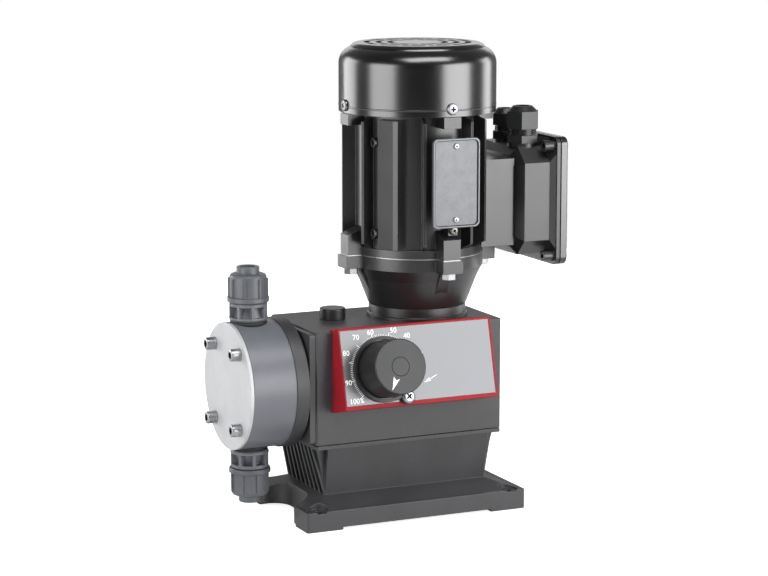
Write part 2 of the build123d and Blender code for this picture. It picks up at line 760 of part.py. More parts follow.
def foot_pad_rib(side):
    """Heavy rib that carries one edge of a mounting foot, with its two tapped bosses beside it."""
    # Corners as (distance towards -X, distance sideways) from the motor axis
    corners = [(28.5, 36.0), (30.5, 41.5), (38.8, 46.2), (41.4, 43.6), (47.8, 29.6), (41.5, 24.5),
               (30.0, 24.5)]
    outline = make_face(Polyline([(motor_x - px, side * py) for px, py in corners], close=True))
    pad = extrude(Plane.XY.offset(fin_bottom_z - 1) * outline, amount=fin_top_z - fin_bottom_z)
    for z in foot_boss_z:
        pad += rod(4.0, (motor_x - foot_boss_reach, side * foot_boss_y, z), (1, 0, 0), 14.0)
    return pad


def tie_lugs():
    """The upper lug under the cowl's edge and the lower lug on the flange, on the +X side."""
    half = lug_width / 2
    near = motor_x + frame_body_r - 3
    far = motor_x + lug_outer_r
    foot = cowl_bottom_z - 9
    inside_cowl = rod(cowl_r - cowl_wall - 0.2, (motor_x, 0, foot), (0, 0, 1), 30)
    top_lug = block(near, far, -half, half, foot, frame_top_z)
    top_lug += block(motor_x + frame_body_r + loose_gap, far, -half, half, foot, cowl_screw_z + 4)
    top_lug = (top_lug & inside_cowl) + block(near, far, -half, half, foot, cowl_bottom_z - loose_gap)
    top_lug -= rod(cowl_screw_r + seat_gap, (far, 0, cowl_screw_z), (-1, 0, 0), 12.0)
    slope = Polyline([(near, adapter_top_z), (far, adapter_top_z), (far, adapter_top_z + 16.5),
                      (near, adapter_top_z + 24)], close=True)
    low_lug = extrude(Plane.XZ * make_face(slope), amount=half, both=True)
    return [top_lug, low_lug]


def motor_frame():
    """Finned motor housing with its foot ribs, tie lugs and the neck of the terminal box."""
    up = (0, 0, 1)
    body = rod(frame_body_r, (motor_x, 0, adapter_top_z), up, frame_top_z - adapter_top_z)
    body += rod(adapter_top_r, (motor_x, 0, adapter_top_z), up, 7.0)
    for angle in fin_angles:
        body += thin_fin(angle)
    for side in (-1, 1):
        body += foot_pad_rib(side)
    for lug in tie_lugs():
        for copy in around(lug, [0, 90, 180, 270], motor_x, 0):
            body += copy
    neck_z0 = box_centre_z - neck_half_z
    neck_z1 = box_centre_z + neck_half_z
    body += block(motor_x + 40, neck_end_x, -neck_half_y, neck_half_y, neck_z0, neck_z1)
    # Seats of the name plate and the earth screw
    for z in plate_screw_zs:
        body += rod(plate_seat_r, (plate_x, -frame_body_r + 2, z), (0, -1, 0), -plate_y - frame_body_r + 2)
        body -= rod(plate_screw_r + seat_gap, (plate_x, plate_y + 7, z), (0, -1, 0), 12)
    body += block(plate_x - 3, plate_x + 5, -earth_seat_y, -frame_body_r + 3, earth_z - 4, earth_z + 5)
    body -= rod(earth_screw_r + seat_gap, (plate_x + 1, -earth_seat_y + 9, earth_z), (0, -1, 0), 14)
    # Bores: stator, neck, bolts and foot bosses
    body -= rod(frame_inner_r, (motor_x, 0, adapter_top_z - 1), up, frame_top_z)
    body -= block(motor_x + 30, neck_end_x + 1, -neck_half_y + 5, neck_half_y - 5, neck_z0 + 5, neck_z1 - 5)
    for x, y in flange_spots():
        body -= rod(bolt_r + seat_gap, (x, y, adapter_top_z - 1), up, 14)
    for side in (-1, 1):
        for z in foot_boss_z:
            body -= rod(2.2, (motor_x - foot_boss_reach - 1, side * foot_boss_y, z), (1, 0, 0), 9.0)
    return body


def stator():
    """Laminated core with its winding heads."""
    z0 = adapter_top_z + 22
    z1 = z0 + 62
    body = tube(frame_inner_r - seat_gap, rotor_r + 0.5, (motor_x, 0, z0), (0, 0, 1), z1 - z0)
    for z, step in ((z0, -1), (z1, 1)):
        body += tube(frame_inner_r - 5, rotor_r + 3, (motor_x, 0, z - step), (0, 0, step), 13.0)
    return body


def rotor_core():
    return tube(rotor_r, motor_shaft_r + seat_gap, (motor_x, 0, adapter_top_z + 20), (0, 0, 1), 66.0)


def rear_endshield():
    """Cover of the frame's top end, with the upper bearing's seat."""
    inside = frame_inner_r - 0.5
    seat = motor_bearing_r + seat_gap
    rim = seat + 4
    profile = [(frame_body_r, 0), (frame_body_r, 3.0), (rim, 3.0), (rim, 1.0), (8.5, 1.0), (8.5, -1.9),
               (seat, -1.9), (seat, -2 - motor_bearing_width), (rim, -2 - motor_bearing_width), (rim, -4.0),
               (inside, -3.0), (inside, 0)]
    return turned(profile, motor_x, 0, frame_top_z)


def fan():
    """Radial fan: hub, back disc and nine straight blades."""
    body = tube(11.0, motor_shaft_r + seat_gap, (motor_x, 0, fan_z - 3), (0, 0, 1), 16.0)
    body += tube(fan_disc_r, 9.0, (motor_x, 0, fan_z), (0, 0, 1), 2.0)
    blade = block(motor_x + 10, motor_x + fan_r, -1.0, 1.0, fan_z + 1, fan_z + fan_height)
    tip_z = fan_z + fan_height - 2
    blade -= block(motor_x + fan_disc_r, motor_x + fan_r + 1, -2, 2, tip_z, tip_z + 3)
    for copy in around(blade, [i * 360 / fan_blades for i in range(fan_blades)], motor_x, 0):
        body += copy
    return body


def cowl_section():
    """Half-section of the pressed cowl: straight skirt, deep rounded shoulder, flat top."""
    height = cowl_top_z - cowl_bottom_z
    shoulder = cowl_r - cowl_top_r
    inner_r = cowl_r - cowl_wall
    under = height - cowl_wall
    with BuildSketch(Plane.XZ) as section:
        with BuildLine():
            Line((inner_r, 0), (cowl_r, 0))
            skirt = Line((cowl_r, 0), (cowl_r, height - shoulder - 4))
            bend = RadiusArc(skirt @ 1, (cowl_top_r + 3.5, height - 3.4), -(shoulder + 1))
            ease = RadiusArc(bend @ 1, (cowl_top_r - 2.0, height), -6.0)
            Line(ease @ 1, (0, height))
            Line((0, height), (0, under))
            Line((0, under), (cowl_top_r - 2.5, under))
            inside = RadiusArc((cowl_top_r - 2.5, under), (inner_r, height - shoulder - 5), shoulder + 4)
            Line(inside @ 1, (inner_r, 0))
        make_face()
    return section.sketch


def fan_cowl():
    """Pressed cowl with a slotted grille round a closed centre."""
    cowl = Pos(motor_x, 0, cowl_bottom_z) * revolve(cowl_section(), Axis.Z)
    for ring_r, count, arc_deg in cowl_slot_rings:
        for i in range(count):
            arc = CenterArc((0, 0), ring_r, i * 360 / count - arc_deg / 2, arc_deg)
            slot = SlotArc(arc, cowl_slot_width)
            cowl -= Pos(motor_x, 0, cowl_top_z - 8) * extrude(slot, amount=12)
    for x, y in ((1, 0), (0, 1), (-1, 0), (0, -1)):
        start = (motor_x + (cowl_r - 4) * x, (cowl_r - 4) * y, cowl_screw_z)
        cowl -= rod(cowl_screw_r + 0.2, start, (x, y, 0), 8)
    return cowl


def cowl_screws():
    """Four domed screws that point at the motor axis."""
    screws = []
    for x, y in ((1, 0), (0, 1), (-1, 0), (0, -1)):
        out = Vector(x, y, 0)
        seat = Vector(motor_x, 0, cowl_screw_z) + out * (cowl_r + seat_gap)
        cap = rod(cowl_screw_cap_r, seat, out, cowl_screw_cap)
        outer_edge = cap.edges().sort_by(lambda edge: (edge.center() - seat).dot(out))[-1]
        cap = fillet(outer_edge, cowl_screw_cap * 0.45)
        screws.append(cap + rod(cowl_screw_r, seat - out * 4.0, out, 4.5))
    return screws


def name_plate():
    """Bare plate with a raised rim and two fixing holes."""
    height = plate_top_z - plate_bottom_z
    centre = (plate_x, plate_y - seat_gap, (plate_bottom_z + plate_top_z) / 2)
    face = Plane(origin=centre, x_dir=(1, 0, 0), z_dir=(0, -1, 0))
    body = extrude(face * RectangleRounded(plate_width, height, 4.0), amount=2.4)
    body -= extrude(face.offset(1.6) * RectangleRounded(plate_width - 2.4, height - 2.4, 3.0), amount=2)
    for z in plate_screw_zs:
        body -= rod(plate_screw_r + running_gap, (plate_x, plate_y + 2, z), (0, -1, 0), 6)
    return body


def plate_screws():
    screws = []
    for z in plate_screw_zs:
        head = rod(2.3, (plate_x, plate_y - 1.6 - 2 * seat_gap, z), (0, -1, 0), 1.3)
        screws.append(head + rod(plate_screw_r, (plate_x, plate_y - 2.0, z), (0, 1, 0), 7.0))
    return screws


def earth_screw():
    head = rod(3.6, (plate_x + 1, -earth_seat_y - seat_gap, earth_z), (0, -1, 0), 3.0)
    return head + rod(earth_screw_r, (plate_x + 1, -earth_seat_y - 1, earth_z), (0, 1, 0), 9.0)


def box_plane(x):
    """A plane that faces +X, centred on the terminal box."""
    return Plane(origin=(x, 0, box_centre_z), x_dir=(0, 1, 0), z_dir=(1, 0, 0))


def box_frame(half_y, half_z, x, corner=3.0):
    return box_plane(x) * RectangleRounded(2 * half_y, 2 * half_z, corner)


def octagon(half_y, half_z, c, x):
    """A rectangle with its corners cut off by c."""
    quarter = [(half_y, half_z - c), (half_y - c, half_z)]
    left = [(-y, z) for y, z in reversed(quarter)]
    lower = [(-y, -z) for y, z in quarter]
    right = [(y, -z) for y, z in reversed(quarter)]
    return box_plane(x) * make_face(Polyline(quarter + left + lower + right, close=True))


def lid_screw_spots(x):
    return [(x, sy * lid_screw_y, box_centre_z + sz * lid_screw_z) for sy, sz in corner_signs()]


def terminal_box():
    """Cast box: bevelled foot, chamfered body and a wide rim for the lid."""
    foot = octagon(neck_half_y + 2, neck_half_z + 2, 9, neck_end_x)
    low = octagon(box_half_y, box_half_z, box_chamfer, neck_end_x + 5)
    high = octagon(box_half_y, box_half_z, box_chamfer, box_face_x)
    flare = octagon(rim_half_y - 1.5, rim_half_z - 1.5, box_chamfer, rim_x - 3)
    body = loft([foot, low])
    body += loft([low, high])
    body += loft([high, flare])
    body += extrude(box_frame(rim_half_y, rim_half_z, rim_x - 3, 6.0), amount=3)
    # Cavity, open to the lid and to the neck
    cavity = octagon(box_half_y - box_wall, box_half_z - box_wall, box_chamfer - 2, neck_end_x + 4)
    body -= extrude(cavity, amount=rim_x - neck_end_x)
    body -= extrude(box_frame(neck_half_y - 5, neck_half_z - 5, neck_end_x - 1), amount=8)
    pillar = 12.0
    rim_block = extrude(box_frame(rim_half_y, rim_half_z, rim_x - pillar, 6.0), amount=pillar)
    for spot in lid_screw_spots(rim_x - pillar):
        body += rod(4.2, spot, (1, 0, 0), pillar) & rim_block
        body -= rod(lid_screw_r + 0.1, spot, (1, 0, 0), pillar + 1)
    for y, hex_size, bore, cap in glands:
        body += rod(hex_size / 2 + 0.5, (gland_x, y, gland_seat_z - 1), (0, 0, 1), 1 + gland_boss)
        hole_z = gland_seat_z - box_wall - 2
        body -= rod(bore + gland_wall + seat_gap, (gland_x, y, hole_z), (0, 0, 1), gland_base_z - hole_z + 1)
    return body


def lid_gasket():
    ring = box_frame(rim_half_y - 1, rim_half_z - 1, rim_x, 5.5)
    ring -= box_frame(box_half_y - box_wall + 0.5, box_half_z - box_wall + 0.5, rim_x)
    body = extrude(ring, amount=lid_gasket_thick)
    for spot in lid_screw_spots(rim_x - 1):
        body -= rod(lid_screw_r + 0.5, spot, (1, 0, 0), 4)
    return body


def terminal_lid():
    """Lid with a raised centre, hollow behind, and a pillar round each corner screw."""
    body = extrude(box_frame(rim_half_y, rim_half_z, lid_x, 6.0), amount=lid_thick)
    body = fillet(body.faces().sort_by(Axis.X)[-1].edges(), 1.5)
    raised = box_frame(rim_half_y - 12, rim_half_z - 9, lid_outer_x - 0.5, 5.0)
    body += extrude(raised, amount=lid_raise + 0.5)
    hollow = box_frame(box_half_y - box_wall, box_half_z - box_wall, lid_x - 1)
    body -= extrude(hollow, amount=lid_thick - 2)
    for x, y, z in lid_screw_spots(lid_x):
        body += rod(5.0, (x, y, z), (1, 0, 0), lid_thick - 1)
        body -= rod(lid_screw_r + 0.4, (x - 1, y, z), (1, 0, 0), lid_thick + 4)
    return body


def lid_screws():
    screws = []
    for x, y, z in lid_screw_spots(lid_outer_x + seat_gap):
        head = rod(4.0, (x, y, z), (1, 0, 0), 2.0)
        screws.append(head + rod(lid_screw_r, (rim_x - 8, y, z), (1, 0, 0), x + 1 - rim_x + 8))
    return screws


def terminal_block():
    """Terminal board on the box's floor, with six brass studs."""
    x = neck_end_x + 6
    board = block(x - 2, x + 8, 12, 34, box_centre_z - 24, box_centre_z + 24)
    board += block(x - 2, x, 10, 36, box_centre_z - 26, box_centre_z + 26)
    for dz in (-14, 0, 14):
        for y in (18, 28):
            board += rod(2.0, (x + 7, y, box_centre_z + dz), (1, 0, 0), 7)
    return board


def gland_bodies():
    """Lower hexagon and threaded neck of each cable gland."""
    bodies = []
    up = (0, 0, 1)
    for y, hex_size, bore, cap in glands:
        spigot_z = gland_base_z - gland_boss - box_wall
        body = hexagon(hex_size, (gland_x, y, gland_base_z), up, gland_hex_thick)
        body += rod(hex_size / 2 - 1.6, (gland_x, y, gland_base_z), up, gland_neck)
        body += rod(bore + gland_wall, (gland_x, y, spigot_z), up, gland_base_z - spigot_z + 1)
        body -= rod(bore, (gland_x, y, spigot_z - 1), up, 40)
        bodies.append(body)
    return bodies


def gland_nuts():
    """Domed cap nuts that squeeze the glands' seals."""
    nuts = []
    up = (0, 0, 1)
    z = gland_cap_z
    for y, hex_size, bore, cap in glands:
        nut = hexagon(hex_size, (gland_x, y, z), up, cap - 4)
        top = Plane.XY.offset(z + cap - 4)
        dome = loft([top * Circle(hex_size / 2 - 0.3), top.offset(4) * Circle(bore + 1.6)])
        nut += Pos(gland_x, y, 0) * dome
        neck_overlap = gland_base_z + gland_neck - z
        nut -= rod(hex_size / 2 - 1.6 + running_gap, (gland_x, y, z - 1), up, 1 + neck_overlap)
        nut -= rod(bore + gland_wall + running_gap, (gland_x, y, z), up, cap - 3)
        nut -= rod(bore, (gland_x, y, z), up, cap + 1)
        nuts.append(nut)
    return nuts


def gland_seals():
    seals = []
    z = gland_base_z + gland_neck + seat_gap
    for y, hex_size, bore, cap in glands:
        height = gland_cap_z + cap - 4.5 - z
        seals.append(tube(bore + gland_wall, bore, (gland_x, y, z), (0, 0, 1), height))
    return seals


def valve_body(side):
    """Screwed-in valve housing with the windowed collar under the union nut."""
    spigot = valve_socket_r - seat_gap
    shelf = cage_foot + cage_ring
    ceiling = cage_top - cage_ring
    rim = cage_r - 0.4
    thread_top = nut_top - 12
    profile = [(valve_bore_r, valve_foot), (spigot, valve_foot), (spigot, cage_foot),
               (cage_r - 0.8, cage_foot), (cage_r, cage_foot + 1.2), (cage_r, shelf), (11.5, shelf),
               (9.2, ceiling - 1.0), (9.2, ceiling), (rim, ceiling), (rim, cage_top), (thread_r, cage_top),
               (thread_r, thread_top), (valve_bore_r, thread_top)]
    body = turned(profile, valve_x, 0, shaft_z, side)
    post = block(valve_x + 9, valve_x + cage_r - 0.1, -1.1, 1.1,
                 shaft_z + side * (cage_foot + 1), shaft_z + side * (cage_top - 1))
    for copy in around(post, [cage_phase + i * 360 / cage_posts for i in range(cage_posts)], valve_x, 0):
        body += copy
    return body


def union_nut(side):
    """Ribbed union nut with its foot flange and rounded shoulder."""
    inner = thread_r + running_gap
    tail = nozzle_r + running_gap
    profile = [(inner, nut_foot), (nut_flange_r - 0.5, nut_foot), (nut_flange_r, nut_foot + 0.8),
               (nut_flange_r, nut_foot + 3.6), (nut_body_r, nut_foot + 4.3), (nut_body_r, nut_top - 2.4),
               (nut_body_r - 0.7, nut_top - 0.8), (nut_body_r - 2.4, nut_top), (tail, nut_top),
               (tail, nut_top - 3), (inner, nut_top - 3)]
    body = turned(profile, valve_x, 0, shaft_z, side)
    rib = block(valve_x + nut_body_r - 1, valve_x + nut_rib_r, -0.6, 0.6,
                shaft_z + side * (nut_foot + 4), shaft_z + side * (nut_top - 3.4))
    for copy in around(rib, [nut_phase[side] + i * 360 / nut_ribs for i in range(nut_ribs)], valve_x, 0):
        body += copy
    return body


def hose_nozzle(side):
    """Connection tail held under the union nut's shoulder."""
    low = nut_top - 11.9
    collar_r = thread_r - 0.6
    end = nut_top + nozzle_reach
    profile = [(nozzle_bore_r, low), (collar_r, low), (collar_r, nut_top - 3.1), (nozzle_r, nut_top - 3.1),
               (nozzle_r, end - 0.6), (nozzle_r - 0.6, end), (nozzle_bore_r, end)]
    return turned(profile, valve_x, 0, shaft_z, side)


def valve_orings():
    """Ring seals that show as a black line between head and valve bodies."""
    inner = valve_socket_r + 0.05
    low = head_r - crown_flat + 0.05
    high = cage_foot - 0.05
    profile = [(inner, low), (cage_r - 1.2, low), (cage_r - 0.6, (low + high) / 2), (cage_r - 1.2, high),
               (inner, high)]
    return [turned(profile, valve_x, 0, shaft_z, side) for side in (-1, 1)]


def seat_cup_floor(side):
    """Level of a seat cup's underside: both cups open upwards, whichever valve they serve."""
    return shaft_z + (socket_floor if side > 0 else -socket_floor - seat_cup_height)


def valve_seats():
    """Seat cups: a bored floor for the ball, its guide wall and the bar that limits its lift."""
    cups = []
    up = (0, 0, 1)
    for side in (-1, 1):
        z = seat_cup_floor(side)
        cup = tube(valve_socket_r - seat_gap, valve_bore_r, (valve_x, 0, z), up, seat_cup_height)
        cup += tube(valve_socket_r - 1, seat_bore_r, (valve_x, 0, z), up, seat_floor)
        reach = valve_bore_r + 1
        cup += block(valve_x - reach, valve_x + reach, -0.8, 0.8,
                     z + seat_cup_height - stop_bar, z + seat_cup_height)
        cups.append(cup)
    return cups


def valve_ball(side):
    return Pos(valve_x, 0, seat_cup_floor(side) + ball_rest) * Sphere(ball_r)


def panel_rectangle(inset, out):
    """A sharp rectangle on the panel, inset from its outline, for extruding backwards."""
    middle = panel_plane((panel_left_x + panel_right_x) / 2, -panel_height / 2, out)
    return middle * Rectangle(panel_right_x - panel_left_x - 2 * inset, panel_height - 2 * inset)


def panel_bore(shape, x, u, r, depth):
    """A round hole through the panel at one spot."""
    return shape - extrude(panel_plane(x, u) * Circle(r), amount=-depth)


def bezel():
    """Red surround: a wedge-shaped frame whose sides stand on the housing's front."""
    back_y = -housing_half_y - panel_back_gap
    depth = 40.0
    body = extrude(panel_rectangle(0, 0), amount=-depth)
    body -= extrude(panel_rectangle(panel_wall, -panel_wall - label_thick), amount=-depth)
    body -= extrude(panel_rectangle(panel_border, 0), amount=-label_thick)
    boss = panel_plane(lock_screw_x, lock_screw_u, -panel_wall)
    body += extrude(boss * Circle(lock_thread_r + 2.4), amount=-10.0)
    body = body & block(panel_left_x - 1, panel_right_x + 1, -100, back_y, 60, 170)
    body += block(panel_left_x, panel_right_x, -50.0, -housing_half_y + 5.5,
                  housing_top_z + 0.25, housing_top_z + 1.45)
    body = panel_bore(body, knob_x, knob_u, spindle_r + 5.0, 12)
    return panel_bore(body, lock_screw_x, lock_screw_u, lock_thread_r + running_gap, 14)


def dial_label():
    body = extrude(panel_rectangle(panel_border + running_gap, -label_thick), amount=label_thick)
    body = panel_bore(body, knob_x, knob_u, spindle_r + 5.0, 3)
    return panel_bore(body, lock_screw_x, lock_screw_u, lock_thread_r + running_gap, 3)


def adjusting_knob():
    base = panel_plane(knob_x, knob_u, knob_foot_gap)
    body = loft([base * Circle(knob_r), base.offset(knob_height) * Circle(knob_front_r)])
    body = fillet(body.faces().sort_by(Axis.Y)[0].edges(), 1.0)
    body -= extrude(base.offset(-1) * Circle(knob_front_r - 3), amount=knob_height - knob_floor + 1)
    body += extrude(base * Circle(spindle_r + 3.5), amount=knob_height - knob_floor + 1)
    body -= extrude(base.offset(-1) * Circle(spindle_r + seat_gap), amount=knob_height - knob_cap_thick)
    body -= extrude(base.offset(knob_height - knob_cap_thick) * Circle(knob_cap_r + running_gap), amount=4)
    return body


def knob_cap():
    base = panel_plane(knob_x, knob_u, knob_foot_gap + knob_height - knob_cap_thick + seat_gap)
    return extrude(base * Circle(knob_cap_r), amount=knob_cap_thick)


def adjusting_spindle():
    """Spindle of the stroke stop, with an eccentric pin at its inner end."""
    start = panel_point(knob_x, knob_u, knob_foot_gap + knob_height - knob_cap_thick - 1.5)
    reach = (spindle_tip_y - start.Y) / -panel_out.Y - spindle_pin
    body = extrude(Plane(origin=start, z_dir=panel_out * -1) * Circle(spindle_r), amount=reach)
    pin_start = start - panel_out * (reach - 1) + Vector(spindle_pin_offset, 0, 0)
    return body + rod(spindle_pin_r, pin_start, panel_out * -1, spindle_pin + 1)


def lock_ring():
    """Fixed collar round the knob's foot, with the ear of the locking screw."""
    ear = Pos(lock_screw_x - knob_x, lock_screw_u - knob_u)
    outline = Circle(lock_ring_r)
    outline += ear * Circle(lock_screw_r + 0.6)
    outline -= Circle(lock_ring_inner_r)
    outline -= ear * Circle(lock_thread_r + running_gap)
    return extrude(panel_plane(knob_x, knob_u, seat_gap) * outline, amount=lock_ring_height)


def locking_screw():
    seat = panel_plane(lock_screw_x, lock_screw_u, lock_ring_height + 0.1)
    head = extrude(seat * Circle(lock_screw_r), amount=2.6)
    head = fillet(head.faces().sort_by(Axis.Y)[0].edges(), 1.1)
    return head + extrude(seat.offset(0.5) * Circle(lock_thread_r), amount=-13.0)


def filler_plug():
    z = housing_top_z + 0.3
    cap = rod(filler_cap_r, (filler_x, filler_y, z), (0, 0, 1), filler_cap_height)
    cap = fillet(cap.edges().sort_by(Axis.Z)[-1], 0.9)
    return cap + rod(filler_bore_r - running_gap, (filler_x, filler_y, z - 10), (0, 0, 1), 11)


def write(name, shape):
    """One file for one sub-part; a list becomes a group of separate solids."""
    if isinstance(shape, list):
        shape = Compound(children=[item.solids()[0] for item in shape])
    export_step(shape, f"parts/{name}.step")


SUB_PARTS = {
    "base_pedestal": base_pedestal,
    "housing_gasket": housing_gasket,
    "gear_housing": gear_housing,
    "filler_plug": filler_plug,
    "pump_flange": pump_flange,
    "tappet_bush": tappet_bush,
    "return_spring": return_spring,
    "tappet": tappet,
    "diaphragm_core": diaphragm_core,
    "diaphragm": diaphragm,
    "head_body": head_body,
    "head_plate": head_plate,
    "head_screws": head_screws,
    "head_washers": head_washers,
    "valve_seats": valve_seats,
    "suction_ball": lambda: valve_ball(-1),
    "discharge_ball": lambda: valve_ball(1),
    "valve_orings": valve_orings,
    "suction_valve": lambda: valve_body(-1),
    "discharge_valve": lambda: valve_body(1),
    "suction_nut": lambda: union_nut(-1),
    "discharge_nut": lambda: union_nut(1),
    "suction_nozzle": lambda: hose_nozzle(-1),
    "discharge_nozzle": lambda: hose_nozzle(1),
    "eccentric_shaft": eccentric_shaft,
    "worm_wheel": worm_wheel,
    "shaft_bearings": shaft_bearings,
    "motor_shaft": motor_shaft,
    "rotor_core": rotor_core,
    "motor_bearings": motor_bearings,
    "shaft_seal": shaft_seal,
    "bell_adapter": bell_adapter,
    "adapter_bolts": adapter_bolts,
    "motor_frame": motor_frame,
    "stator": stator,
    "rear_endshield": rear_endshield,
    "fan": fan,
    "fan_cowl": fan_cowl,
    "cowl_screws": cowl_screws,
    "name_plate": name_plate,
    "plate_screws": plate_screws,
    "earth_screw": earth_screw,
    "terminal_box": terminal_box,
    "terminal_block": terminal_block,
    "lid_gasket": lid_gasket,
    "terminal_lid": terminal_lid,
    "lid_screws": lid_screws,
    "gland_bodies": gland_bodies,
    "gland_nuts": gland_nuts,
    "gland_seals": gland_seals,
    "bezel": bezel,
    "dial_label": dial_label,
    "lock_ring": lock_ring,
    "locking_screw": locking_screw,
    "adjusting_spindle": adjusting_spindle,
    "adjusting_knob": adjusting_knob,
    "knob_cap": knob_cap,
}

os.makedirs("parts", exist_ok=True)
for node, maker in SUB_PARTS.items():
    write(node, maker())
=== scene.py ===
"""Looks of a diaphragm metering pump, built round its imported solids.

Finishes for every solid, the screws' heads and drives, gland threads, the printed dial, light and camera.
"""

import math

import bmesh
import bpy
from mathutils import Matrix, Vector


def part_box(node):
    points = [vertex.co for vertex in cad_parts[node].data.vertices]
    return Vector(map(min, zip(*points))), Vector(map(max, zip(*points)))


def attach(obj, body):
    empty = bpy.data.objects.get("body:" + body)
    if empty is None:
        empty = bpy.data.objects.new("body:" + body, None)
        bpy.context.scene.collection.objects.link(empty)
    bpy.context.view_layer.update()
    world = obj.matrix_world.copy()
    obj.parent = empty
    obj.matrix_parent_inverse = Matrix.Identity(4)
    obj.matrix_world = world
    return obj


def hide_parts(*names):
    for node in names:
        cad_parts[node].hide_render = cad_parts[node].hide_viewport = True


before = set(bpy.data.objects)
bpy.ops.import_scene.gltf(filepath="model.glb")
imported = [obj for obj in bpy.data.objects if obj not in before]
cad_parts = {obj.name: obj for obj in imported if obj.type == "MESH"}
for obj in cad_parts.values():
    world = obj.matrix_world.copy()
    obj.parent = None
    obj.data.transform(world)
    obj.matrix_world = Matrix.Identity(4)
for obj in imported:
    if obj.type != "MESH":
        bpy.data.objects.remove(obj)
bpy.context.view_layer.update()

MM = 0.001

# Places and sizes in millimetres, in the pump's own frame
motor_x = 27.5
cowl_r = 62.0
cowl_screw_z = 321.3
cowl_bead_z = 320.4
plate_x = 30.0
plate_y = -62.6
plate_screw_zs = (236.0, 293.0)
earth_spot = (31.0, -57.0, 226.8)
lid_x = 137.0
lid_screw_y = 41.0
lid_screw_dz = 44.0
box_centre_z = 242.5
head_plate_x = -134.9
head_washer = 1.6
head_axis_z = 107.6
head_screw_dy = 26.0
head_screw_dz = 29.5
gland_x = 110.5
gland_base_z = 294.1
gland_cap_z = 298.9
adapter_top_z = 203.5
register_height = 0.7
register_r = 51.0
plate_corner_r = 5.0
plate_thick = 1.65

# The panel leans back: x runs across it, u up it and out away from it
panel_tilt = math.radians(14.5)
panel_origin = Vector((0.0, -55.2, 156.2))
panel_out = Vector((0.0, -math.cos(panel_tilt), math.sin(panel_tilt)))
panel_up = Vector((0.0, math.sin(panel_tilt), math.cos(panel_tilt)))
knob_x = -31.0
knob_u = -33.5
knob_front = 31.8
knob_cap_r = 7.2
cap_gap_half = 0.25
pointer_turn = 243
lock_screw_x = -14.2
lock_screw_u = -56.0
lock_seat = 3.6
bezel_left = -66.0
bezel_right = 64.4
bezel_height = 62.7

# The dial: 0 to 100 per cent over most of a turn, read beside the knob
dial_x = -30.9
dial_u = -34.2
dial_r = 27.8
dial_full_angle = 222.8
dial_step = 29.5
dial_low = 20
# Where the printed numbers stand on the panel: across, and up from its top edge
dial_numbers = {100: (-56.0, -56.1), 90: (-61.4, -41.6), 80: (-60.9, -18.9), 70: (-51.5, -7.4),
                60: (-39.0, -4.4), 50: (-19.6, -4.3), 40: (-8.7, -9.3), 30: (0.6, -24.6)}
# Sizes of the printed numbers, ticks and turning arrow
number_height = 5.6
tick_inside = 2.2
long_tick_outside = 1.6
long_tick_wide = 0.6
tick_wide = 0.34
turn_arrow_at = (2.0, -46.4)
turn_arrow_turn = 24
ink = 0.06

# Screws: head radius, head height, shank radius, shank length, size of the drive
cowl_screw = (4.6, 2.1, 2.3, 3.9, 4.6)
lid_screw = (4.0, 1.9, 1.85, 14.0, 4.0)
plate_screw = (2.3, 1.2, 1.15, 6.0, 2.4)
earth_screw = (3.5, 2.9, 1.9, 7.0, 3.6)
lock_screw = (5.2, 1.7, 1.6, 12.5, 5.8)
head_screw = (4.9, 6.35, 3.0, 46.0, 5.0)
head_washer_r = (5.1, 3.3)

# Gland threads: name, place across the box, root radius
gland_threads = (("gland_thread", -20.0, 10.3), ("small_gland_thread", 10.0, 7.8))
gland_pitch = 1.5
gland_tooth = 0.7

# The lamps stand round a spot at the pump's middle height, in metres
lamp_distance = 2.2
lamp_aim = Vector((0.0, 0.0, 0.18))
# Lamps: name, azimuth from the panel's side and elevation in degrees, width and height in metres, radiance
lamps = (
    ("box_right", 34, 4, 1.7, 1.6, 7.2),
    ("box_far_right", 95, 4, 0.8, 1.6, 3.8),
    ("box_left", -77, 4, 1.6, 1.6, 5.2),
    ("box_back_left", -143, 4, 1.3, 1.6, 3.8),
    ("box_top", -4, 60, 2.0, 0.9, 7.0),
    ("box_behind", 155, 17, 1.8, 0.6, 0.9),
)
# The mirrored room is dimmest in this direction, which is the camera's
dim_side = (-0.42, -0.91, 0.0)
# The floor: half its width in metres, how much the camera sees it lifted towards white, and its height
floor_half = 1.1
floor_lift = 0.85
floor_z = -0.0005

# The photo's viewpoint, solved from the pump's own sizes
camera_lens = 119.70
camera_azimuth = math.radians(-24.80)
camera_elevation = math.radians(9.79)
camera_distance = 2.02075
camera_target = Vector((-1.39, 0.0, 175.04))


# Materials


def linear(hex_colour):
    """A colour written as sRGB hex, as linear red, green, blue and 1."""
    channels = [int(hex_colour[i : i + 2], 16) / 255 for i in (0, 2, 4)]
    return [c / 12.92 if c <= 0.04045 else ((c + 0.055) / 1.055) ** 2.4 for c in channels] + [1.0]


def add(tree, kind, inputs=(), **settings):
    """Adds a node: inputs are pairs of socket and value or link, settings are its own properties."""
    node = tree.nodes.new("ShaderNode" + kind)
    for name, value in settings.items():
        setattr(node, name, value)
    for socket, value in inputs:
        if isinstance(value, bpy.types.NodeSocket):
            tree.links.new(value, node.inputs[socket])
        else:
            node.inputs[socket].default_value = value
    return node


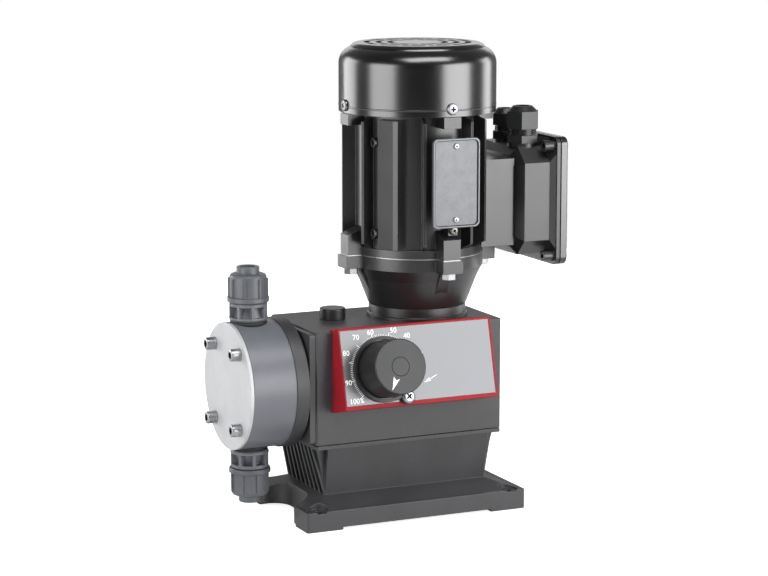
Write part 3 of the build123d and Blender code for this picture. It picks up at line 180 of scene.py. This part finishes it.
def finish(name, light, dark, rough, grain, depth, metallic=0.0, ior=None, spread=0.03, cloud=18.0,
           stretch=(1, 1, 1), edge=0.45, coat=0.0, wear_and_highlight=None):
    """A material with a grain of that size and depth in mm, clouds of tone and gloss some mm wide, and
    edges that catch the light as if broken by that many mm. The last colour lightens the edges: wear, and a
    painted highlight along them."""
    material = bpy.data.materials.new(name)
    material.use_nodes = True
    tree = material.node_tree
    shader = tree.nodes["Principled BSDF"]
    where = add(tree, "TexCoord").outputs["Object"]
    drawn = add(tree, "Mapping", [("Vector", where), ("Scale", stretch)]).outputs["Vector"]
    fine = add(tree, "TexNoise", [("Vector", drawn), ("Scale", 1 / (grain * MM)), ("Detail", 3.0)])
    broad = add(tree, "TexNoise", [("Vector", where), ("Scale", 1 / (cloud * MM)), ("Detail", 2.0)])
    tone = add(tree, "Mix", [(0, 0.5), (2, fine.outputs[0]), (3, broad.outputs[0])], data_type="FLOAT")
    steps = add(tree, "MapRange", [("Value", tone.outputs[0]), ("From Min", 0.2), ("From Max", 0.8)],
                interpolation_type="SMOOTHSTEP")
    colour = add(tree, "Mix", [(0, steps.outputs[0]), (6, linear(dark)), (7, linear(light))],
                 data_type="RGBA")
    gloss = add(tree, "MapRange", [("Value", broad.outputs[0]), ("From Min", 0.2), ("From Max", 0.8),
                                   ("To Min", rough - spread), ("To Max", rough + spread)])
    broken = add(tree, "Bevel", [("Radius", edge * MM)], samples=6)
    bump = add(tree, "Bump", [("Height", fine.outputs[0]), ("Distance", depth * MM), ("Strength", 1.0),
                              ("Normal", broken.outputs[0])])
    # Edges lightened towards the last colour: wear, and a painted highlight along every edge
    if wear_and_highlight:
        surface = add(tree, "NewGeometry").outputs["Normal"]
        flat = add(tree, "VectorMath", [(0, broken.outputs[0]), (1, surface)], operation="DOT_PRODUCT")
        rubbed_and_lit = add(tree, "MapRange", [("Value", flat.outputs["Value"]), ("From Min", 0.985),
                                        ("From Max", 0.9)])
        patches = add(tree, "MapRange", [("Value", fine.outputs[0]), ("From Min", 0.4), ("From Max", 0.6),
                                         ("To Min", 0.25)])
        amount = add(tree, "Math", [(0, rubbed_and_lit.outputs[0]), (1, patches.outputs[0])], operation="MULTIPLY")
        colour = add(tree, "Mix", [(0, amount.outputs[0]), (6, colour.outputs[2]), (7, linear(wear_and_highlight))],
                     data_type="RGBA")
    tree.links.new(colour.outputs[2], shader.inputs["Base Color"])
    tree.links.new(gloss.outputs[0], shader.inputs["Roughness"])
    tree.links.new(bump.outputs[0], shader.inputs["Normal"])
    shader.inputs["Metallic"].default_value = metallic
    shader.inputs["Coat Weight"].default_value = coat
    shader.inputs["Coat Roughness"].default_value = rough
    if ior:
        shader.inputs["IOR"].default_value = ior
    return material


def machined_band(material, low_z, high_z, inner_r, bare, rough):
    """Turns a painted casting bare and bright where it was turned on a lathe round the motor's axis."""
    tree = material.node_tree
    shader = tree.nodes["Principled BSDF"]
    where = add(tree, "TexCoord").outputs["Object"]
    from_axis = add(tree, "VectorMath", [(0, where), (1, (motor_x * MM, 0.0, 0.0))], operation="SUBTRACT")
    parts = add(tree, "SeparateXYZ", [(0, from_axis.outputs[0])])
    level = add(tree, "CombineXYZ", [("X", parts.outputs["X"]), ("Y", parts.outputs["Y"])])
    radius = add(tree, "VectorMath", [(0, level.outputs[0])], operation="LENGTH")
    above = add(tree, "Math", [(0, parts.outputs["Z"]), (1, low_z * MM)], operation="GREATER_THAN")
    below = add(tree, "Math", [(0, parts.outputs["Z"]), (1, high_z * MM)], operation="LESS_THAN")
    outside = add(tree, "Math", [(0, radius.outputs["Value"]), (1, inner_r * MM)], operation="GREATER_THAN")
    band = add(tree, "Math", [(0, above.outputs[0]), (1, below.outputs[0])], operation="MULTIPLY")
    mask = add(tree, "Math", [(0, band.outputs[0]), (1, outside.outputs[0])], operation="MULTIPLY")
    for socket, value in (("Base Color", linear(bare)), ("Roughness", rough), ("Metallic", 1.0)):
        old = shader.inputs[socket]
        is_colour = socket == "Base Color"
        mix = add(tree, "Mix", [(0, mask.outputs[0])], data_type="RGBA" if is_colour else "FLOAT")
        first, second, result = (6, 7, 2) if is_colour else (2, 3, 0)
        if old.links:
            tree.links.new(old.links[0].from_socket, mix.inputs[first])
        else:
            mix.inputs[first].default_value = old.default_value
        mix.inputs[second].default_value = value
        tree.links.new(mix.outputs[result], old)
    return material


# Real moulded, blasted and turned grain is too fine for the picture, so it is drawn about 1 mm coarse
materials = {
    # Glass-filled PPE moulded against a spark-eroded tool: near black, with an even satin grain
    "moulded_housing": finish("ppe_spark_eroded", "38383a", "2a2a2c", 0.46, 1.1, 0.05, ior=1.55, cloud=30,
                              edge=0.6, wear_and_highlight="5a5a5d"),
    # Die-cast aluminium under semi-gloss black paint: the casting's skin shows as soft unevenness
    "cast_paint": finish("cast_aluminium_black_paint", "161617", "0f0f10", 0.36, 1.6, 0.04, ior=1.5, coat=0.6,
                         edge=0.6, wear_and_highlight="3c3d40"),
    # Deep-drawn steel under smooth black paint: broad clean highlights
    "cowl_paint": finish("drawn_steel_gloss_paint", "0a0a0b", "080809", 0.24, 2.2, 0.006, ior=1.6,
                         spread=0.015, coat=0.8),
    # PVC turned and milled from bar: mid grey with a fine satin feed mark
    "head_plastic": finish("pvc_turned", "63656b", "575a60", 0.38, 0.9, 0.015, ior=1.54, stretch=(3, 1, 1)),
    # PVC injection moulded: the same grey, smoother
    "nut_plastic": finish("pvc_moulded", "55575c", "484b50", 0.4, 1.2, 0.02, ior=1.54),
    "nozzle_plastic": finish("pvc_moulded_end", "585b60", "4a4d52", 0.4, 1.2, 0.02, ior=1.54),
    # PVDF valve seats: paler, waxy
    "seat_plastic": finish("pvdf_seat", "c9cac6", "b9bab6", 0.35, 1.5, 0.01, ior=1.42),
    # Aluminium plate, fine blasted and clear anodised: pale, with a close matt grain
    "cover_plate": finish("aluminium_blasted_anodised", "bfc0c2", "afb0b2", 0.58, 1.3, 0.05, metallic=0.35),
    # Stainless steel screws, machined and passivated
    "stainless": finish("stainless_turned", "b4b5b8", "96979a", 0.3, 0.8, 0.01, metallic=1.0, cloud=6),
    # Zinc-plated steel: bright with a slightly cloudy plating
    "zinc_steel": finish("steel_zinc_plated", "9c9da0", "797a7e", 0.36, 1.0, 0.012, metallic=1.0, cloud=5),
    # Steel turned and ground, oiled inside the housing
    "machined_steel": finish("steel_turned", "b4b5b7", "98999c", 0.3, 0.8, 0.01, metallic=1.0,
                             stretch=(1, 1, 4)),
    # Ball-bearing steel, ground bright
    "bearing_steel": finish("bearing_steel_ground", "c6c7c9", "b2b4b7", 0.18, 0.8, 0.004, metallic=1.0),
    # Tin bronze, hobbed and turned
    "bronze": finish("bronze_hobbed", "a97f45", "8e6835", 0.32, 0.9, 0.01, metallic=1.0),
    # Brass screw under nickel plating: warm grey
    "brass_screw": finish("brass_nickel_plated", "8f8c86", "75716a", 0.3, 0.8, 0.01, metallic=1.0, cloud=5),
    # Alumina valve balls, polished
    "ball_ceramic": finish("alumina_polished", "e6e3da", "dbd8ce", 0.15, 1.0, 0.002, ior=1.76, spread=0.03),
    # EPDM rubber, moulded: dull black
    "rubber": finish("epdm_moulded", "1d1d1e", "141415", 0.7, 0.9, 0.02, ior=1.5),
    # Stacked electrical sheet: thin horizontal lines
    "laminations": finish("electrical_sheet_stack", "6d6f72", "4c4e51", 0.5, 1.0, 0.03, metallic=0.8,
                          stretch=(0.05, 0.05, 1)),
    # Polyamide, glass filled, moulded: black with a slight sheen
    "fan_plastic": finish("polyamide_moulded", "232426", "18191b", 0.36, 1.1, 0.025, ior=1.53),
    # ABS moulded in red against an etched tool: the side wall shows the grain
    "bezel_red": finish("abs_etched_red", "980a1f", "7c0817", 0.6, 1.0, 0.06, ior=1.38),
    # Polyester label film printed silver from behind: pale, satin, with fine sparkle
    "label_film": finish("polyester_film_silver", "606163", "5c5d5f", 0.24, 0.7, 0.003, metallic=0.35,
                         ior=1.5, spread=0.01, cloud=60),
    # Aluminium name plate, satin: grey with soft cloudy wear
    "plate_metal": finish("aluminium_plate_satin", "646567", "4e5052", 0.34, 0.9, 0.01, metallic=0.6,
                          cloud=9),
    # Polyamide knob, moulded: charcoal, satin
    "knob_plastic": finish("polyamide_knob", "17181a", "121315", 0.46, 0.9, 0.035, ior=1.53),
}

# The motor casting is painted before its register is turned, so a fine line stays bare at the joint
materials["motor_casting"] = machined_band(
    finish("cast_aluminium_frame", "161617", "0f0f10", 0.34, 1.6, 0.04, ior=1.5, coat=0.7, edge=0.6,
           wear_and_highlight="606164"),
    adapter_top_z, adapter_top_z + register_height, register_r, "a9abae", 0.32)

# The plate's raised rim, lighter than its middle: scuffed metal, and a painted highlight along it
materials["plate_bare"] = finish("aluminium_rim_rubbed_and_lit", "6c6d6f", "5c5d5f", 0.34, 0.9, 0.01, metallic=1.0)
# Screen-printed ink, white and slightly raised on the film
materials["white_ink"] = finish("screen_print_white", "f4f4f2", "e9e9e7", 0.5, 0.6, 0.001, edge=0.01)
# The drive of a screw: a dark colour that paints the shade inside its recess
materials["drive_dark"] = finish("painted_shade_recess", "1c1c1e", "101012", 0.6, 0.8, 0.01, edge=0.02)
# Painted shade where no light gets: the gap between knob and cap, and the name plate's groove
materials["gap_dark"] = finish("shadow_gap", "0c0c0d", "070708", 0.8, 0.8, 0.01)


def paint_nodes():
    """Each carried-over solid gets the finish of its own slot."""
    slots = {"motor_frame": "motor_casting"}
    for name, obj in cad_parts.items():
        slot = obj.data.materials[0].name.split(".")[0] if obj.data.materials else "moulded_housing"
        chosen = materials[slots.get(name, slot)]
        if not obj.data.materials:
            obj.data.materials.append(chosen)
        for index in range(len(obj.data.materials)):
            obj.data.materials[index] = chosen


# Mesh tools


def spun(profile, steps=48):
    """A solid of revolution about Z from pairs of radius and height, in mm."""
    mesh = bmesh.new()
    verts = [mesh.verts.new((r * MM, 0.0, z * MM)) for r, z in profile]
    edges = [mesh.edges.new(pair) for pair in zip(verts, verts[1:])]
    bmesh.ops.spin(mesh, geom=verts + edges, cent=(0, 0, 0), axis=(0, 0, 1), angle=2 * math.pi,
                   steps=steps, use_merge=True, use_duplicate=False)
    bmesh.ops.remove_doubles(mesh, verts=mesh.verts, dist=1e-6)
    bmesh.ops.recalc_face_normals(mesh, faces=mesh.faces)
    return mesh


def prism(corners, height, low=0.0):
    """An upright solid over flat corners in mm, from low to low + height."""
    mesh = bmesh.new()
    face = mesh.faces.new([mesh.verts.new((x * MM, y * MM, low * MM)) for x, y in corners])
    raised = bmesh.ops.extrude_face_region(mesh, geom=[face])
    moved = [item for item in raised["geom"] if isinstance(item, bmesh.types.BMVert)]
    bmesh.ops.translate(mesh, verts=moved, vec=(0, 0, height * MM))
    bmesh.ops.recalc_face_normals(mesh, faces=mesh.faces)
    return mesh


def polygon(count, radius):
    """Corners of a regular outline, in mm."""
    angles = [i * 2 * math.pi / count for i in range(count)]
    return [(radius * math.cos(angle), radius * math.sin(angle)) for angle in angles]


def held(mesh):
    """The mesh in a temporary object."""
    data = bpy.data.meshes.new("shape")
    mesh.to_mesh(data)
    mesh.free()
    obj = bpy.data.objects.new("shape", data)
    bpy.context.scene.collection.objects.link(obj)
    return obj


def carved(mesh, *tools):
    """The solid less each tool."""
    host = held(mesh)
    cutters = [held(tool) for tool in tools]
    for cutter in cutters:
        step = host.modifiers.new("cut", "BOOLEAN")
        step.operation = "DIFFERENCE"
        step.solver = "EXACT"
        step.object = cutter
    graph = bpy.context.evaluated_depsgraph_get()
    result = bmesh.new()
    result.from_mesh(bpy.data.meshes.new_from_object(host.evaluated_get(graph)))
    for obj in [host, *cutters]:
        bpy.data.objects.remove(obj)
    bmesh.ops.recalc_face_normals(result, faces=result.faces)
    return result


def facing(spot, out, up=(0, 0, 1)):
    """The frame at a spot in mm whose Z points out and whose Y leans to up."""
    z = Vector(out).normalized()
    x = Vector(up).cross(z)
    x = x.normalized() if x.length > 1e-4 else Vector((1, 0, 0))
    y = z.cross(x)
    frame_at = Matrix((x, y, z)).transposed().to_4x4()
    frame_at.translation = Vector(spot) * MM
    return frame_at


def about_z(degrees):
    """A turn about a frame's own Z."""
    return Matrix.Rotation(math.radians(degrees), 4, "Z")


def on_panel(x, u, out=0.0):
    """The frame of a spot on the panel."""
    return facing(panel_origin + Vector((x, 0, 0)) + panel_up * u + panel_out * out, panel_out, panel_up)


def copies(mesh, frames):
    """One mesh that holds a copy at each frame."""
    data = bpy.data.meshes.new("copies")
    mesh.to_mesh(data)
    mesh.free()
    whole = bmesh.new()
    for place in frames:
        part = bmesh.new()
        part.from_mesh(data)
        bmesh.ops.transform(part, matrix=place, verts=part.verts)
        placed = bpy.data.meshes.new("placed")
        part.to_mesh(placed)
        part.free()
        whole.from_mesh(placed)
        bpy.data.meshes.remove(placed)
    return whole


def piece(name, mesh, body, material, stands_for=()):
    """Makes the mesh a finished piece that rides on a body, and takes the place of the named nodes."""
    data = bpy.data.meshes.new(name)
    mesh.to_mesh(data)
    mesh.free()
    data.materials.append(materials[material])
    # Faces marked second take the drive's dark colour, painted shade in the recess
    if any(face.material_index for face in data.polygons):
        data.materials.append(materials["drive_dark"])
    data.polygons.foreach_set("use_smooth", [True] * len(data.polygons))
    data.set_sharp_from_angle(angle=math.radians(35))
    obj = bpy.data.objects.new(name, data)
    bpy.context.scene.collection.objects.link(obj)
    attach(obj, body)
    if stands_for:
        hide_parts(*stands_for)


# Screws


def cross_recess(size, depth, top):
    """Tools for a cross recess: two crossed blades that narrow towards the bottom."""
    thickness, narrow_along, narrow_across = 0.26, 0.6, 0.7
    blades = []
    for turn in (0, math.pi / 2):
        blade = bmesh.new()
        bmesh.ops.create_cube(blade, size=1.0)
        for vert in blade.verts:
            low = vert.co.z < 0
            vert.co.x *= size * (narrow_along if low else 1.0) * MM
            vert.co.y *= size * thickness * (narrow_across if low else 1.0) * MM
            vert.co.z = (top - depth if low else top + 0.5) * MM
        bmesh.ops.rotate(blade, verts=blade.verts, matrix=Matrix.Rotation(turn, 3, "Z"))
        blades.append(blade)
    return blades


def with_dark_recess(mesh, radius, head_h):
    """Gives the drive's inner faces the second material, a dark colour that paints the shade in the recess.
    """
    for face in mesh.faces:
        spot = face.calc_center_median() / MM
        if math.hypot(spot.x, spot.y) < radius and 0.1 < spot.z < head_h - 0.02:
            face.material_index = 1
    return mesh


def pan_screw(head_r, head_h, shank_r, shank, recess):
    """A pan-head screw with a cross recess, its seat at height 0 and its shank below."""
    profile = [(0, head_h), (head_r * 0.55, head_h), (head_r * 0.85, head_h * 0.86),
               (head_r * 0.98, head_h * 0.5), (head_r, 0.15), (head_r - 0.15, 0), (shank_r, 0)]
    profile += [(shank_r, -shank + 0.4), (shank_r - 0.4, -shank), (0, -shank)]
    screw = carved(spun(profile), *cross_recess(recess, head_h * 0.75, head_h))
    return with_dark_recess(screw, recess * 0.55, head_h)


def cap_screw(head_r, head_h, shank_r, shank, socket):
    """A socket-head cap screw: plain side, rounded crown, hexagon socket."""
    profile = [(0, head_h), (head_r - 0.9, head_h), (head_r - 0.35, head_h - 0.2),
               (head_r - 0.08, head_h - 0.6), (head_r, head_h - 1.1), (head_r, 0.2), (head_r - 0.2, 0),
               (shank_r, 0), (shank_r, -shank), (0, -shank)]
    depth = 4.0
    socket_r = socket / 2 / math.cos(math.pi / 6)
    screw = carved(spun(profile), prism(polygon(6, socket_r), depth + 0.5, head_h - depth))
    return with_dark_recess(screw, socket_r, head_h)


def joined(*meshes):
    """Several closed meshes as one."""
    whole = bmesh.new()
    for mesh in meshes:
        data = bpy.data.meshes.new("part")
        mesh.to_mesh(data)
        mesh.free()
        whole.from_mesh(data)
        bpy.data.meshes.remove(data)
    return whole


def washer(outer, inner, thick):
    """A flat washer whose outer edges are broken."""
    edge = 0.2
    return spun([(inner, 0), (outer - edge, 0), (outer, edge), (outer, thick - edge), (outer - edge, thick),
                 (inner, thick), (inner, 0)])


def add_screws():
    """Every visible screw with its real head and drive."""
    around_cowl = [facing((motor_x + (cowl_r + 0.05) * x, (cowl_r + 0.05) * y, cowl_screw_z), (x, y, 0))
                   for x, y in ((1, 0), (0, 1), (-1, 0), (0, -1))]
    turned = [place @ about_z(20 + 23 * i) for i, place in enumerate(around_cowl)]
    piece("cowl_cross_screws", copies(pan_screw(*cowl_screw), turned), "pump",
          "zinc_steel", ["cowl_screws"])
    lid_corners = [facing((lid_x + 0.05, sy * lid_screw_y, box_centre_z + sz * lid_screw_dz), (1, 0, 0))
                   for sy in (-1, 1) for sz in (-1, 1)]
    piece("lid_cross_screws", copies(pan_screw(*lid_screw), lid_corners), "pump",
          "zinc_steel", ["lid_screws"])
    plate_spots = [facing((plate_x, plate_y - plate_thick, z), (0, -1, 0)) for z in plate_screw_zs]
    piece("plate_cross_screws", copies(pan_screw(*plate_screw), plate_spots), "pump",
          "stainless", ["plate_screws"])
    earth = facing(earth_spot, (0, -1, 0)) @ about_z(30)
    piece("earth_cross_screw", copies(pan_screw(*earth_screw), [earth]), "pump",
          "brass_screw", ["earth_screw"])
    lock_place = on_panel(lock_screw_x, lock_screw_u, lock_seat) @ about_z(38)
    piece("locking_cross_screw", copies(pan_screw(*lock_screw), [lock_place]), "locking_screw",
          "stainless", ["locking_screw"])
    seat_x = head_plate_x - head_washer
    spots = [(seat_x, sy * head_screw_dy, head_axis_z + sz * head_screw_dz)
             for sy in (-1, 1) for sz in (-1, 1)]
    heads = [facing(spot, (-1, 0, 0)) @ Matrix.Rotation(0.2 + 0.37 * i, 4, "Z")
             for i, spot in enumerate(spots)]
    piece("head_cap_screws", copies(cap_screw(*head_screw), heads), "pump",
          "stainless", ["head_screws"])
    rings = [facing((head_plate_x, y, z), (-1, 0, 0)) for x, y, z in spots]
    piece("head_plain_washers", copies(washer(*head_washer_r, head_washer - 0.02), rings), "pump",
          "stainless", ["head_washers"])


# Threads


def thread(crest_r, root_r, pitch, length):
    """A screw thread about Z, coiled by turning its tooth while it rises."""
    per_turn = 40
    turns = length / pitch - 1
    steps = int(per_turn * turns)
    mesh = bmesh.new()
    tooth = [(root_r - 0.2, 0), (root_r, 0.08 * pitch), (crest_r, 0.42 * pitch), (crest_r, 0.58 * pitch),
             (root_r, 0.92 * pitch), (root_r - 0.2, pitch)]
    verts = [mesh.verts.new((r * MM, 0.0, z * MM)) for r, z in tooth]
    face = mesh.faces.new(verts)
    bmesh.ops.spin(mesh, geom=[face, *face.edges, *face.verts], cent=(0, 0, 0), axis=(0, 0, 1),
                   dvec=(0, 0, pitch * MM / per_turn), angle=turns * 2 * math.pi, steps=steps,
                   use_merge=False, use_duplicate=True)
    bmesh.ops.remove_doubles(mesh, verts=mesh.verts, dist=1e-6)
    bmesh.ops.recalc_face_normals(mesh, faces=mesh.faces)
    return mesh


def add_threads():
    """The threads that show between the cable glands' hexagons and their nuts."""
    for name, y, root_r in gland_threads:
        place = Matrix.Translation(Vector((gland_x, y, gland_base_z)) * MM)
        coil = thread(root_r + gland_tooth, root_r, gland_pitch, gland_cap_z - gland_base_z)
        mesh = copies(coil, [place])
        piece(name, mesh, "pump", "fan_plastic")


# Dial and knob


def words(name, text, place, height):
    """Raised lettering at a place, as a mesh."""
    curve = bpy.data.curves.new(name, "FONT")
    curve.body = text
    curve.size = height * MM
    curve.extrude = ink * MM / 2
    curve.offset = 0.07 * MM
    curve.align_x = "CENTER"
    curve.align_y = "CENTER"
    curve.resolution_u = 4
    holder = bpy.data.objects.new(name, curve)
    bpy.context.scene.collection.objects.link(holder)
    graph = bpy.context.evaluated_depsgraph_get()
    mesh = bmesh.new()
    mesh.from_mesh(bpy.data.meshes.new_from_object(holder.evaluated_get(graph)))
    bpy.data.objects.remove(holder)
    bmesh.ops.transform(mesh, matrix=place, verts=mesh.verts)
    return mesh


def dial_angle(percent):
    """Where a share of the full stroke sits on the dial, in degrees from the right."""
    return dial_full_angle - dial_step * (100 - percent) / 10


def dial_spot(percent, radius):
    """The panel place at that radius from the dial's centre."""
    angle = math.radians(dial_angle(percent))
    return dial_x + radius * math.cos(angle), dial_u + radius * math.sin(angle)


def add_dial():
    """Ticks at every percent, longer at tens, numbers beside them and the turning arrow."""
    ticks = []
    for percent in range(dial_low, 101):
        long = percent % 10 == 0
        inner, outer = dial_r - tick_inside, dial_r + (long_tick_outside if long else 0.0)
        width = long_tick_wide if long else tick_wide
        x, u = dial_spot(percent, (inner + outer) / 2)
        half = (outer - inner) / 2
        tick = prism([(-half, -width / 2), (half, -width / 2), (half, width / 2), (-half, width / 2)], ink)
        place = on_panel(x, u, 0.01) @ about_z(dial_angle(percent))
        ticks.append(copies(tick, [place]))
    piece("dial_ticks", joined(*ticks), "pump", "white_ink")
    numbers = []
    for percent, (x, u) in dial_numbers.items():
        text = "100%" if percent == 100 else str(percent)
        numbers.append(words("number", text, on_panel(x, u, ink / 2 + 0.01), number_height))
    piece("dial_numbers", joined(*numbers), "pump", "white_ink")
    head, barb, shaft, half = 6.0, 1.5, 12.5, 0.25
    neck = head - 0.8
    arrow = prism([(0, 0), (head, barb), (neck, half), (shaft, half), (shaft, -half), (neck, -half),
                   (head, -barb)], ink)
    place = on_panel(*turn_arrow_at, 0.01) @ about_z(turn_arrow_turn)
    piece("dial_arrow", copies(arrow, [place]), "pump", "white_ink")


def rectangle(left, right, bottom, top):
    """Corners of an upright rectangle."""
    return [(left, bottom), (right, bottom), (right, top), (left, top)]


def add_bezel_face():
    """The bezel's front lip over the label's edges, widest along the bottom."""
    gap, rise = 0.05, 0.25
    at_left, at_right, at_bottom, at_top = 1.3, 1.9, 3.3, 1.6
    lip = prism(rectangle(bezel_left + gap, bezel_right - gap, gap - bezel_height, -gap), rise)
    window = prism(rectangle(bezel_left + at_left, bezel_right - at_right, at_bottom - bezel_height, -at_top),
                   1.0, -0.5)
    piece("bezel_face_lip", copies(carved(lip, window), [on_panel(0, 0, 0.01)]), "pump",
          "bezel_red")


def add_knob_marks():
    """The white pointer let into the knob's face, and a thin dark ring round its cap that paints the shade of
    the fine gap there.
    """
    tip, wide, notch, half = 19.6, 9.4, 11.3, 2.6
    pointer = prism([(tip, 0), (wide, half), (notch, 0), (wide, -half)], ink)
    place = on_panel(knob_x, knob_u, knob_front - 0.01) @ about_z(pointer_turn)
    piece("knob_pointer", copies(pointer, [place]), "knob", "white_ink")
    inner, outer = knob_cap_r - cap_gap_half, knob_cap_r + cap_gap_half
    ring = spun([(inner, 0), (outer, 0), (outer, ink), (inner, ink), (inner, 0)], 72)
    piece("knob_cap_gap_shade", copies(ring, [on_panel(knob_x, knob_u, knob_front - 0.01)]), "knob",
          "gap_dark")


# Cowl and plates


def rounded(width, height, radius):
    """Corners of a rounded rectangle about the origin, in mm."""
    steps = 6
    corners = []
    for i, (sx, sy) in enumerate(((1, 1), (-1, 1), (-1, -1), (1, -1))):
        for k in range(steps + 1):
            angle = math.pi / 2 * (i + k / steps)
            corners.append((sx * (width / 2 - radius) + radius * math.cos(angle),
                            sy * (height / 2 - radius) + radius * math.sin(angle)))
    return corners


def add_plate_rim():
    """The raised rim round the name plate, and inside it a thin dark ring that paints the shade of a groove.
    """
    low, high = (Vector(corner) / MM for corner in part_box("name_plate"))
    width, height = high.x - low.x, high.z - low.z
    place = facing(((low.x + high.x) / 2, low.y, (low.z + high.z) / 2), (0, -1, 0))
    rims = (("plate_rim", 0.3, 1.3, 0.3, "plate_bare"), ("plate_groove_shade", 1.3, 1.8, 0.04, "gap_dark"))
    for name, outside, inside, rise, material in rims:
        outer, inner = (rounded(width - 2 * inset, height - 2 * inset, plate_corner_r - inset)
                        for inset in (outside, inside))
        ring = carved(prism(outer, rise), prism(inner, 2.0, -1.0))
        piece(name, copies(ring, [place]), "pump", material)


def add_cowl_bead():
    """The rolled bead near the cowl's lower edge."""
    rise = 0.2
    bead = spun([(cowl_r - 0.2, -1.0), (cowl_r + rise * 0.7, -0.5), (cowl_r + rise, 0.0),
                 (cowl_r + rise * 0.7, 0.5), (cowl_r - 0.2, 1.0), (cowl_r - 0.2, -1.0)], 128)
    place = Matrix.Translation(Vector((motor_x, 0.0, cowl_bead_z)) * MM)
    piece("cowl_bead", copies(bead, [place]), "pump", "cowl_paint")


# Light and camera


def towards(azimuth, elevation):
    """The direction at an angle round from the panel's side and at a height."""
    level = math.cos(elevation)
    return Vector((math.sin(azimuth) * level, -math.cos(azimuth) * level, math.sin(elevation)))


def soft_box(name, azimuth, elevation, wide, high, radiance):
    """A rectangular lamp that faces the pump, equally bright all over."""
    light = bpy.data.lights.new(name, "AREA")
    light.shape = "RECTANGLE"
    light.size = wide
    light.size_y = high
    light.energy = radiance * math.pi * wide * high
    lamp = bpy.data.objects.new(name, light)
    bpy.context.scene.collection.objects.link(lamp)
    back = towards(math.radians(azimuth), math.radians(elevation))
    lamp.location = lamp_aim + back * lamp_distance
    lamp.rotation_euler = back.to_track_quat("Z", "Y").to_euler()


def add_light():
    """Soft boxes that the glossy motor mirrors as upright bands, in a room dim on the camera's side."""
    for lamp in lamps:
        soft_box(*lamp)
    world = bpy.data.worlds.new("studio")
    bpy.context.scene.world = world
    world.use_nodes = True
    tree = world.node_tree
    tree.nodes.clear()
    rays = add(tree, "LightPath")
    seen = add(tree, "Math", [(0, rays.outputs["Is Camera Ray"]), (1, rays.outputs["Is Transmission Ray"])],
               operation="MAXIMUM")
    direction = add(tree, "TexCoord").outputs["Generated"]
    camera_side = add(tree, "VectorMath", [(0, direction), (1, dim_side)], operation="DOT_PRODUCT")
    room = add(tree, "MapRange", [("Value", camera_side.outputs["Value"]), ("From Min", 0.4),
                                  ("From Max", -0.6), ("To Min", 0.02), ("To Max", 0.16)])
    fill = add(tree, "Mix", [(0, rays.outputs["Is Glossy Ray"]), (2, 0.2), (3, room.outputs[0])],
               data_type="FLOAT")
    level = add(tree, "Mix", [(0, seen.outputs[0]), (2, fill.outputs[0]), (3, 1.0)], data_type="FLOAT")
    back = add(tree, "Background", [("Color", linear("ffffff")), ("Strength", level.outputs[0])])
    output = add(tree, "OutputWorld")
    tree.links.new(back.outputs[0], output.inputs[0])


def add_floor():
    """A pale floor that lights the underside and keeps the pump's shadow, white in the picture."""
    mesh = bmesh.new()
    bmesh.ops.create_grid(mesh, x_segments=1, y_segments=1, size=floor_half)
    data = bpy.data.meshes.new("floor")
    mesh.to_mesh(data)
    mesh.free()
    material = bpy.data.materials.new("pale_floor")
    material.use_nodes = True
    tree = material.node_tree
    tree.nodes.clear()
    rays = add(tree, "LightPath")
    matt = add(tree, "BsdfDiffuse", [("Color", linear("e6e6e6"))])
    lift = add(tree, "Emission", [("Color", linear("ffffff")), ("Strength", floor_lift)])
    none = add(tree, "Emission", [("Strength", 0.0)])
    seen = add(tree, "MixShader", [(0, rays.outputs["Is Camera Ray"]), (1, none.outputs[0]),
                                   (2, lift.outputs[0])])
    both = add(tree, "AddShader", [(0, matt.outputs[0]), (1, seen.outputs[0])])
    output = add(tree, "OutputMaterial")
    tree.links.new(both.outputs[0], output.inputs[0])
    data.materials.append(material)
    floor = bpy.data.objects.new("floor", data)
    bpy.context.scene.collection.objects.link(floor)
    floor.location.z = floor_z


def add_camera():
    """The photo's viewpoint: a long lens, level, from the left and a little above."""
    lens = bpy.data.cameras.new("camera")
    lens.lens = camera_lens
    lens.sensor_width = 36.0
    lens.clip_start = 0.05
    lens.clip_end = 50.0
    camera = bpy.data.objects.new("camera", lens)
    bpy.context.scene.collection.objects.link(camera)
    back = towards(camera_azimuth, camera_elevation)
    camera.location = camera_target * MM + back * camera_distance
    camera.rotation_euler = back.to_track_quat("Z", "Y").to_euler()
    bpy.context.scene.camera = camera


paint_nodes()
add_screws()
add_threads()
add_dial()
add_bezel_face()
add_knob_marks()
add_plate_rim()
add_cowl_bead()
add_light()
add_floor()
add_camera()
bpy.context.scene.view_settings.view_transform = "Standard"
